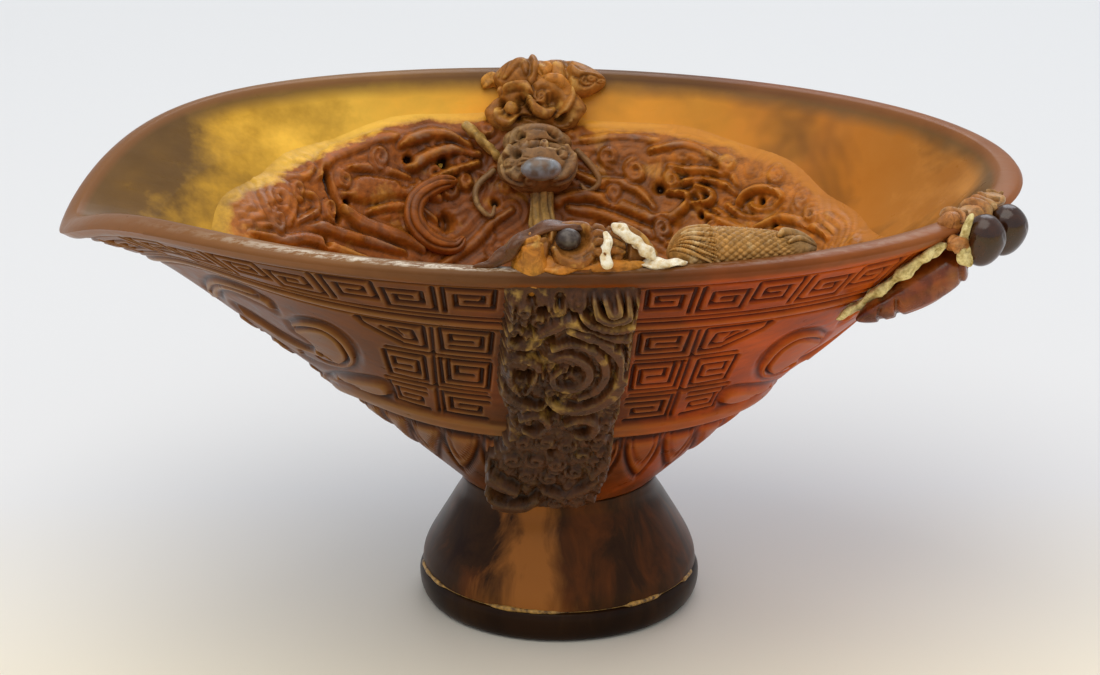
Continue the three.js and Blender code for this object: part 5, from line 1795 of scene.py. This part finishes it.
def carve_far_crest(plan):
    """Upright folds and a few knobs along the far lip; across counts from the left end."""
    roughen(plan, 1.9, 0.16, 13)
    plan.band([(7.5, -2), (7.4, 2), (7.0, 6)], [0.6, 1.1, 0.7], 0.1, 0.6, 0.8, 0.5)
    plan.band([(11.9, 1.4), (12.1, 4.2)], [1.2, 1.4], 0.1, 0.7, 0.8, 0.5)
    for fold in ([(2.0, 5), (3.6, 2.2), (5.4, 1.6), (6.0, 4)],
                 [(14, 0.5), (15.5, 3.2), (18.5, 3.6), (20.5, 2)]):
        plan.band(through(fold), [0.4, 1.0, 1.0, 0.4], 0.1, 0.5, 0.8, 0.5)
    for x in (9.7, 13.6):
        plan.groove([(x, -2), (x + 0.3, 6)], 0.7, 0.9)
    sprinkle(plan, 7, (1, 4), (21, 8), 0.0, 0.4, 14, (0.9, 1.6))
    plan.height = blur(plan.height, 3)


far_radii = [share * back_crest_radius - 0.3 for share in back_crest_shares]
carved_bar("back_crest_brow", lip_path(*back_crest_x, 1, -back_crest_fall, crest_lean),
           far_radii, far_radii, up_axis, far_finish, carve_far_crest, rows=180, around=130)

far_facing = -wall_out(math.pi / 2, 0.87)


def carve_far_face(plan):
    """Brows, arch, eye, nose and lips in millimetres from the middle of the face."""
    roughen(plan, 3.3, 0.55, 17)
    roughen(plan, 1.1, 0.16, 19)
    sprinkle(plan, 7, (-8.5, -5), (8.5, 5), 0.0, 0.4, 18, (0.9, 1.6))
    strokes = [
        ([(-6.5, 3), (-4.3, 4.1), (-2.1, 3.3), (-1, 1.5)], [.5, 1.1, 1.0, .5], .5, 1.0),
        ([(-8.4, -.7), (-8, -3), (-6.1, -3.7), (-4.3, -2.6)], [.5, 1.2, 1.2, .5], .5, 1.1),
        ([(-1.3, .6), (0, -1.5), (1.8, -2.2), (3.3, -1.1)], [.5, 1.0, 1.1, .5], .6, 1.2),
        ([(4.2, -3.1), (6.1, -.9), (7.4, 1.5), (7.7, 3.7)], [.4, .8, .8, .4], .5, .8),
        ([(-6.4, 4.8), (-3.4, 5.6), (-0.6, 4.9)], [.4, .9, .5], .3, .7),
    ]
    for points, widths, level, proud in strokes:
        plan.band(through(points, 6), widths, level, proud, 0.6, 0.6)
    for centre, radius, deep in (((3.4, 0.3), 1.8, 2.4), ((5.6, -3.6), 1.7, 2.2),
                                 ((-3.0, 0.9), 1.2, 1.8), ((-7.8, 0.4), 1.5, 2.0)):
        plan.pit(centre, radius, deep)
    plan.groove(through([(-4.5, -5.2), (-3.2, -3.2), (-0.6, -3.6)]), 0.7, 1.2)
    plan.band([(-5.1, -0.9), (-4.9, -0.9)], [1.3, 1.3], 0.3, 1.0, 0.8, 0.9)
    plan.height = blur(plan.height, 3)


face_middle = off_wall(math.pi / 2, 0.87, -wall - 2.2)
carved_egg("back_crest_face", face_middle, far_facing, up_axis, (9.0, 5.6, 3.7), far_finish,
           carve_far_face, rings=90, around=170)
face_right = unit(np.cross(up_axis, far_facing))
face_up = np.cross(far_facing, face_right)


def on_face(points, out):
    """Places on the far face, from millimetres right, up and out of its middle."""
    points = np.asarray(points, float)
    return (face_middle + points[:, :1] * face_right + points[:, 1:] * face_up
            + np.reshape(out, (-1, 1)) * far_facing)


arch_plan = [(0.9, 3.4), (2.2, 4.5), (3.9, 4.4), (5.3, 3.2), (5.5, 1.4), (4.8, -0.2)]
fin_turns = turn_at_x([-13.6, -12.0, -10.2], 0.96, 1)
fin_line = off_wall(fin_turns, np.array([0.93, 0.95, 0.96]), -wall - np.array([0.5, 1.0, 1.4]))
for name, path, wide, tall, seed, grid in (
        ("arch", on_face(arch_plan, [1.9, 2.4, 2.6, 2.4, 2.0, 1.6]),
         [.7, 1.2, 1.4, 1.3, 1.1, .6], [.6, 1.0, 1.1, 1.0, .9, .5], 61, (70, 40)),
        ("knob", on_face([(1.4, 5.0), (1.7, 6.8), (1.6, 8.0)], [2.8, 2.2, 1.2]),
         [.8, 1.4, .9], [.7, 1.0, .7], 62, (40, 32)),
        ("fin", fin_line, [.7, 1.4, 1.3], [.4, .8, .8], 63, (40, 32))):
    carved_bar("back_crest_" + name, path, wide, tall, far_facing, far_gold,
               glue_lumps(seed, 0), *grid)

# %% [markdown]
# ## The middle head
#
# Halfway down the far wall a third head faces the viewer. It has a flat brow with a painted
# milky sheen and two nostril-like holes, a smooth grey snout, cheeks behind it and thin
# whiskers that fall on both sides. A pillar of clear horn stands under its chin.

# %% Middle head
head_turn = math.radians(90.5)
head_facing = -wall_out(head_turn, 0.69)
bed_depth = 6.5
middle_finish = (head_horn, "crest_horn", ["centre_head"])


def carve_middle_head(plan):
    """Cheeks in two folds a side, a groove over the snout and two nostril pits."""
    roughen(plan, 1.5, 0.12, 23)
    for hand in (-1, 1):
        plan.band(through([
            (hand * 2.6, -3.6), (hand * 5.2, -2.6), (hand * 6.8, 0.2), (hand * 5.8, 3.2)]),
                  [0.5, 1.1, 1.1, 0.5], 0.3, 1.0, 0.5, 0.5)
        plan.band(through([(hand * 3.4, -5.2), (hand * 7.2, -3.4), (hand * 8.6, -0.4)]),
                  [0.3, 0.7, 0.3], 0.1, 0.7, 0.4, 0.4)
    plan.groove(through([(-1.6, 3.2), (1, 3.7), (3.8, 3.4)]), 0.8, 1.4)
    for side in (-1, 1):
        plan.pit((4.6 * side, 1.4), 1.1, 1.8)
    sprinkle(plan, 8, (-8, -5), (8, 5), 0.0, 0.4, 24, (0.8, 1.5))
    plan.height = blur(plan.height, 2)


def carve_brow(plan):
    """Two deep holes at the left, two grooves and a ridge along the top."""
    roughen(plan, 1.6, 0.1, 27)
    plan.pit((-3.2, 0.7), 1.0, 2.2)
    plan.pit((-4.3, -1.5), 0.95, 2.2)
    plan.groove(through([(-1.2, -1.3), (1.0, -1.0), (3.4, -1.5)]), 0.75, 1.8)
    plan.groove(through([(2.2, 2.8), (2.6, 1.2), (3.6, 0.4)]), 0.55, 1.2)
    plan.band(through([(-5.4, -0.6), (-4.6, 1.8), (-2, 2.9), (1.2, 2.7), (4.2, 1.6), (5.6, -0.6)]),
              [0.4, 0.8, 0.9, 0.8, 0.7, 0.3], 0.1, 0.5, 0.5, 0.25)
    plan.height = blur(plan.height, 1)


head_middle = off_wall(head_turn, 0.69, -(bed_depth + 3.1))
brow_middle = off_wall(head_turn, 0.755, -(bed_depth + 2.2))
carved_egg("centre_head_face", head_middle, head_facing, up_axis, (7.4, 5.2, 5.6), middle_finish,
           carve_middle_head, rings=80, around=150)
carved_egg("centre_head_brow", brow_middle, head_facing, up_axis, (6.3, 3.4, 4.4), middle_finish,
           carve_brow, rings=64, around=120)
pearl_place = np.array(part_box("centre_pearl")).mean(0) / MM
carved_egg("centre_head_pearl", pearl_place, head_facing, up_axis, (3.7, 2.2, 2.3),
           (milky_horn, "slate_bead", ["centre_pearl"]), rings=32, around=48)


def carve_pillar(plan):
    """Three long flutes."""
    roughen(plan, 1.2, 0.12, 71)
    for up in (-2.0, 0.3, 2.4):
        plan.groove(through([(0.5, up), (5, up + 0.5), (10, up)]), 0.4, 0.45)


pillar_line = wall_path([(90, 0.665), (90.2, 0.58), (90.2, 0.5)], -(bed_depth + 1.35))
carved_bar("chin_pillar", pillar_line, [2.6, 2.2, 2.3, 2.6], [2.4, 2.0, 2.0, 2.3], head_facing,
           (yellow_horn, "yellow_horn", ["centre_pillar"]), carve_pillar, rows=70, around=56)
for name, places, widths in (
        ("whisker_left", [(98, .69), (102.2, .64), (103, .59), (101, .56), (99.5, .59)],
         [.6, .6, .55, .45, .3]),
        ("whisker_right", [(84, .75), (80.8, .7), (79.4, .66), (81.2, .635), (83, .655)],
         [.6, .6, .55, .45, .3])):
    carved_bar(name + "_strand", wall_path(places, -(bed_depth + 0.5)), widths, widths,
               head_facing, (head_horn, "crest_horn", [name]), rows=60, around=20)
rod_line = wall_path([(101.5, .82), (99.2, .77), (96.8, .715)], -(bed_depth + 0.6))
carved_bar("loose_horn_rod", rod_line, [.9, .95, .9, .8], [.9, 1.05, 1, .8], head_facing,
           (yellow_horn, "yellow_horn", ["horn_rod"]), glue_lumps(73, 0), rows=50, around=24)
curl_places = [(105.5, .655), (110, .645), (115.5, .605), (118.5, .545), (117, .49), (112, .475),
               (108.5, .5)]


def carve_curl(plan):
    """Two long grooves that follow the curl."""
    plan.groove(through([(1, 0.6), (12, 1.0), (26, 0.4)]), 0.35, 0.45)
    plan.groove(through([(2, -1.2), (12, -0.9), (25, -1.1)]), 0.3, 0.35)
    roughen(plan, 1.6, 0.06, 81)


curl_radii = [.8, 1.6, 1.9, 1.9, 1.8, 1.6, 1.0]
carved_bar("great_curl", wall_path(curl_places, -(bed_depth + 0.9)), curl_radii, curl_radii,
           head_facing, (bed_horn, "bed_horn", ["cloud_curl"]), carve_curl, rows=140, around=40)

# %% [markdown]
# ## The handle
#
# At the rounded end a smooth leaf-like lobe lies on the wall, ending in a notched tail.
# Two dark brown buds sit at its top under the lip, and a collar of small petals folds
# over the lip above them. Old glue follows the edge of the lobe and runs down beside
# the near bud. Each of these is a bar or an egg that takes its own carving, so a few
# numbers for its line and its widths are enough.

# %% Handle
handle_places = [(-29.5, .945), (-32, .875), (-35.5, .822), (-39, .788), (-42.5, .762)]
handle_line = wall_path(handle_places, 3.1)
handle_out = wall_out(math.radians(-33), 0.86)


def carve_lobe(plan):
    """A long dent, a fold near the top and scallops at the tail."""
    length = plan.across.max()
    roughen(plan, 3.4, 0.08, 91)
    plan.groove(through([(3, -1.2), (length * 0.45, -0.4), (length * 0.8, -1.0)]), 1.0, 0.35)
    for end, half, deep in ((0.68, 0.5, 0.9), (0.82, 0.45, 0.8)):
        scallop = [(length * end, 5), (length * (end + 0.02), 1.5), (length * (end - 0.02), -3)]
        plan.groove(through(scallop), half, deep)
    plan.band(through([(1.5, -4), (2.6, 0), (1.5, 4)]), [0.5, 0.9, 0.5], 0.1, 0.5, 0.5, 0.3)
    plan.height = blur(plan.height, 3)


carved_bar("handle_lobe", handle_line, [2.2, 3.5, 3.9, 3.6, 3.1, 2.3, 1.4],
           [2.2, 3.2, 3.6, 3.4, 2.8, 2.0, 1.2], handle_out,
           (handle_horn, "handle_horn", ["handle"]), carve_lobe, rows=130, around=90)


def carve_bud(plan):
    """A faint crescent groove and a few slow dents on a smooth bud."""
    roughen(plan, 2.6, 0.05, 98)
    plan.groove(through([(1.0, 2.6), (1.9, 0.6), (1.7, -1.6)]), 0.35, 0.12)


near_bud, far_bud = (math.radians(-30.6), 1.004), (math.radians(-23.2), 0.995)
bud_out = 3.0
for name, node, place in (("near", "handle_knob_near", near_bud),
                          ("far", "handle_knob_far", far_bud)):
    facing = unit(wall_out(*place) + [0.2, -0.5, 0.35])
    carved_egg("bud_" + name, off_wall(*place, bud_out), facing, up_axis, (3.6, 4.9, 3.7),
               (knob_horn, "knob_horn", [node]), carve_bud, rings=48, around=72)


def carve_petals(plan):
    """Folds across the collar, like petals laid side by side."""
    length = plan.across.max()
    for index, x in enumerate(np.linspace(0.8, length - 0.8, 7)):
        bend = 1.1 * math.sin(2.3 * index)
        reach = 3.0 + 2.2 * math.cos(1.7 * index)
        plan.band(through([(x - 0.9, -reach), (x + bend, 0.3), (x - 0.4, reach)]),
                  [0.2, 0.8, 0.3], 0.1, 0.6, 0.5, 0.5)
    roughen(plan, 0.9, 0.14, 95)
    plan.height = blur(plan.height, 1)


collar_turns = np.radians(np.linspace(-35.5, -17.5, 7))
petal_finish = (petal_horn, "handle_horn", ["handle_collar"])
low_petal_line = wall_path([(-37.0, 1.0), (-34.8, .99), (-32.4, .965)], 1.5)
glue_places = [(-36.2, .985), (-38.3, .94), (-39.4, .85), (-42, .75), (-43.2, .725)]
patch_line = off_wall(*near_bud, bud_out) + np.array([
    (-2.2, -1.6, 5.4), (-3.5, -2.0, 2.0), (-3.7, -2.2, -1.4), (-2.4, -2.4, -4.0)])
aged_finish = (aged_glue, "cream_adhesive", ["handle_filler"])
carved_bar("handle_petals", lip_middle(collar_turns, lip_rise), [1.3, 2.2, 1.8, 2.4, 2.0, 2.3, 1.4],
           [0.9, 1.4, 1.1, 1.6, 1.2, 1.5, 0.9], up_axis, petal_finish, carve_petals,
           rows=150, around=90)
carved_bar("handle_low_petal", low_petal_line, [1.0, 1.9, 1.5], [.8, 1.5, 1.2], up_axis,
           petal_finish, glue_lumps(99, 2), rows=60, around=48)
carved_bar("handle_glue", wall_path(glue_places, 0.9),
           [0.8, 1.5, 1.1, 1.9, 0.9, 1.5, 0.7, 1.1, 0.4], [.6, .9, 0.7, 1.2, .6, 1.0, .5, .8, .3],
           handle_out, aged_finish, glue_lumps(96, 9), rows=130, around=48)
carved_bar("handle_glue_patch", patch_line, [.5, .8, 1.1, 1.6, .8], [.4, .6, .7, .8, .5],
           handle_out, aged_finish, glue_lumps(97, 3), rows=80, around=44)

# %% [markdown]
# ## The foot
#
# The foot was turned: a waisted cone over a nearly black ring. The glue in their joint
# is a thin film now, with thick crumbs left in a few places. Each profile is a smooth
# curve through a few radii, carried round by a lathe formula. Worn horn is never quite
# round, so the radius wanders by a tenth or two. The horn is dark, streaked like flames,
# and one patch in front of it lets the light through.

# %% The lathe
foot_radius, foot_seam_height, foot_height = 24.9, 6.0, 23.7
foot_shares = [0.985, 0.975, 0.945, 0.9, 0.86, 0.815, 0.77, 0.718, 0.698, 0.705]
foot_height_shares = [0, 0.12, 0.24, 0.36, 0.46, 0.57, 0.68, 0.8, 0.9, 1]
base_shares = [0.92, 0.97, 1, 1.008, 1.004, 0.985]
base_height_shares = [0, 0.09, 0.35, 0.65, 0.85, 1]
foot_core, base_core, half_gap = 9.0, 2.0, 0.15


def turned(name, side_points, core, finish, wander, sides=160, rows=70):
    """Carries a curved side, closed flat at a core radius, round the axis with slow unevenness."""
    side = through(side_points, 10)
    outline = np.concatenate([[(core, side[0, 1])], side, [(core, side[-1, 1])]])
    run = run_along(outline)
    even = np.linspace(0, run[-1], rows)
    radius = np.interp(even, run, outline[:, 0])[:, None]
    height = np.interp(even, run, outline[:, 1])[:, None]
    angle = once_round(sides)[None, :]
    uneven = wander * (np.sin(3 * angle + 0.12 * height)
                       + 0.6 * np.sin(5 * angle - 0.3 * height + 1))
    reach = radius - np.abs(uneven) * np.clip(radius / 10, 0, 1)
    loops = np.stack(np.broadcast_arrays(
        neck_centre_x + reach * np.cos(angle), reach * np.sin(angle), height), -1)
    return sleeve(name, loops, finish, {"depth": np.full(loops.shape[:2], 0.5)})


print("foot of radius", foot_radius, "mm, seam at", foot_seam_height, "mm")

# %% [markdown]
# The patch could be painted, but light passing through horn has no edge. So its share
# falls off with the distance from its middle line, and the streaks shake that line.

# %% Foot horn
# In metres, as materials measure: where the light patch is, how far its edge wanders
# with the streaks, and where it starts and stops fading.
patch_middle_x, patch_sway, patch_core, patch_edge = -0.0062, 0.0034, 0.003, 0.0092


def foot_material(name, ground, patch):
    """Dark polished horn with slanting flame-like streaks and one lighter, clearer patch."""
    material, add, place = new_material(name)
    parts = add("SeparateXYZ", [place]).outputs
    stretched = add("Mapping", {"Vector": place, "Scale": (150, 150, 40)})
    flame = add("TexNoise", {"Vector": stretched, "Scale": 1, "Detail": 5, "Roughness": 0.6,
        "Distortion": 0.5})
    dark = add("ValToRGB", [flame], ground)
    from_middle = add("Math", [parts["X"], patch_middle_x], operation="SUBTRACT")
    shaken = add("MapRange", [flame, 0.3, 0.7, -patch_sway, patch_sway])
    moved = add("Math", [from_middle, shaken])
    narrowing = add("MapRange", [parts["Z"], 0.006, 0.022, 0.95, 1.6])
    scaled = add("Math", [moved, narrowing], operation="MULTIPLY")
    off = add("Math", [scaled], operation="ABSOLUTE")
    spot = add("MapRange", [off, patch_core, patch_edge, 1, 0])
    front = add("MapRange", [parts["Y"], 0.0, -0.012, 0, 0.85])
    share = add("Math", [spot, front], operation="MULTIPLY")
    colour = add("MixRGB", [share, dark, patch])
    shader = add("BsdfPrincipled", {"Base Color": colour, "Roughness": 0.3, "IOR": 1.54,
        "Specular IOR Level": 0.07, "Coat Weight": 0.03, "Coat Roughness": 0.14})
    add("OutputMaterial", [shader])
    return material


print("foot horn ready, with its patch at", patch_middle_x, "m")

# %% [markdown]
# Cone and ring are two turned pieces, as on the real foot, and meet in the seam.

# %% Foot
foot_horn = foot_material("flamed_dark_horn", [(0.3, "26130A"), (0.5, "36200E"), (0.7, "5E3212")],
                          "A4662E")
base_horn = foot_material("near_black_horn", [(0.3, "1A0E07"), (0.5, "241409"), (0.7, "34200E")],
                          "2A180B")
foot_outline = [(share * foot_radius, mix(foot_seam_height + half_gap, foot_height, up))
                for share, up in zip(foot_shares, foot_height_shares)]
turned("foot_cone", foot_outline, foot_core, (foot_horn, "foot_horn", ["foot"]), 0.12, rows=110)
base_outline = [(share * foot_radius, mix(0.0, foot_seam_height - half_gap, up))
                for share, up in zip(base_shares, base_height_shares)]
turned("foot_ring", base_outline, base_core, (base_horn, "base_horn", ["foot_base"]), 0.1, rows=80)

# %% [markdown]
# Most of the glue has fallen out of the seam. The ring of glue swells where it is left.

# %% Glue in the seam
# Middle and half width, in degrees round the foot, of each place that kept its glue.
glue_left = [(30, 18), (142, 12), (196, 16), (253, 16), (306, 10), (338, 6)]
film_share, glue_radius, glue_thickness = 0.12, 24.35, 0.5


def seam_bead(name, radius, thickness, sides=360, around=12):
    """A ring of glue that is a thin film, with thick crumbs left in the listed places."""
    turn = once_round(sides)[:, None]
    angle = once_round(around)[None, :]
    left = sum(1 - soft_step(np.abs(np.degrees(turn) - middle) / half, 0.7, 1.1)
               for middle, half in glue_left)
    lumps = 0.8 + 0.2 * np.sin(23 * turn) * np.sin(11 * turn + 1)
    swollen = thickness * mix(film_share, 1, left) * lumps
    reach = radius + swollen * np.cos(angle)
    points = np.stack(np.broadcast_arrays(
        neck_centre_x + reach * np.cos(turn), reach * np.sin(turn),
        foot_seam_height + swollen * np.sin(angle)), -1)
    faces = [grid_quads(sides, around, round_rows=True, round_columns=True)]
    finish = (seam_glue, "gold_adhesive", ["foot_seam_bead"])
    return dress(name, points.reshape(-1, 3), faces, finish)


seam_bead("seam_glue_ring", glue_radius, glue_thickness)

# %% [markdown]
# ## The hidden dowel
#
# The dowel that joins foot and bowl stays as it was built. It is out of sight, so no
# finer shape is made for it, and it takes the dark horn of the base.

# %% The hidden dowel
dowel = bpy.data.objects["neck_dowel"]
dowel.data.materials.clear()
dowel.data.materials.append(base_horn)
print("dowel finished with", dowel.data.materials[0].name)
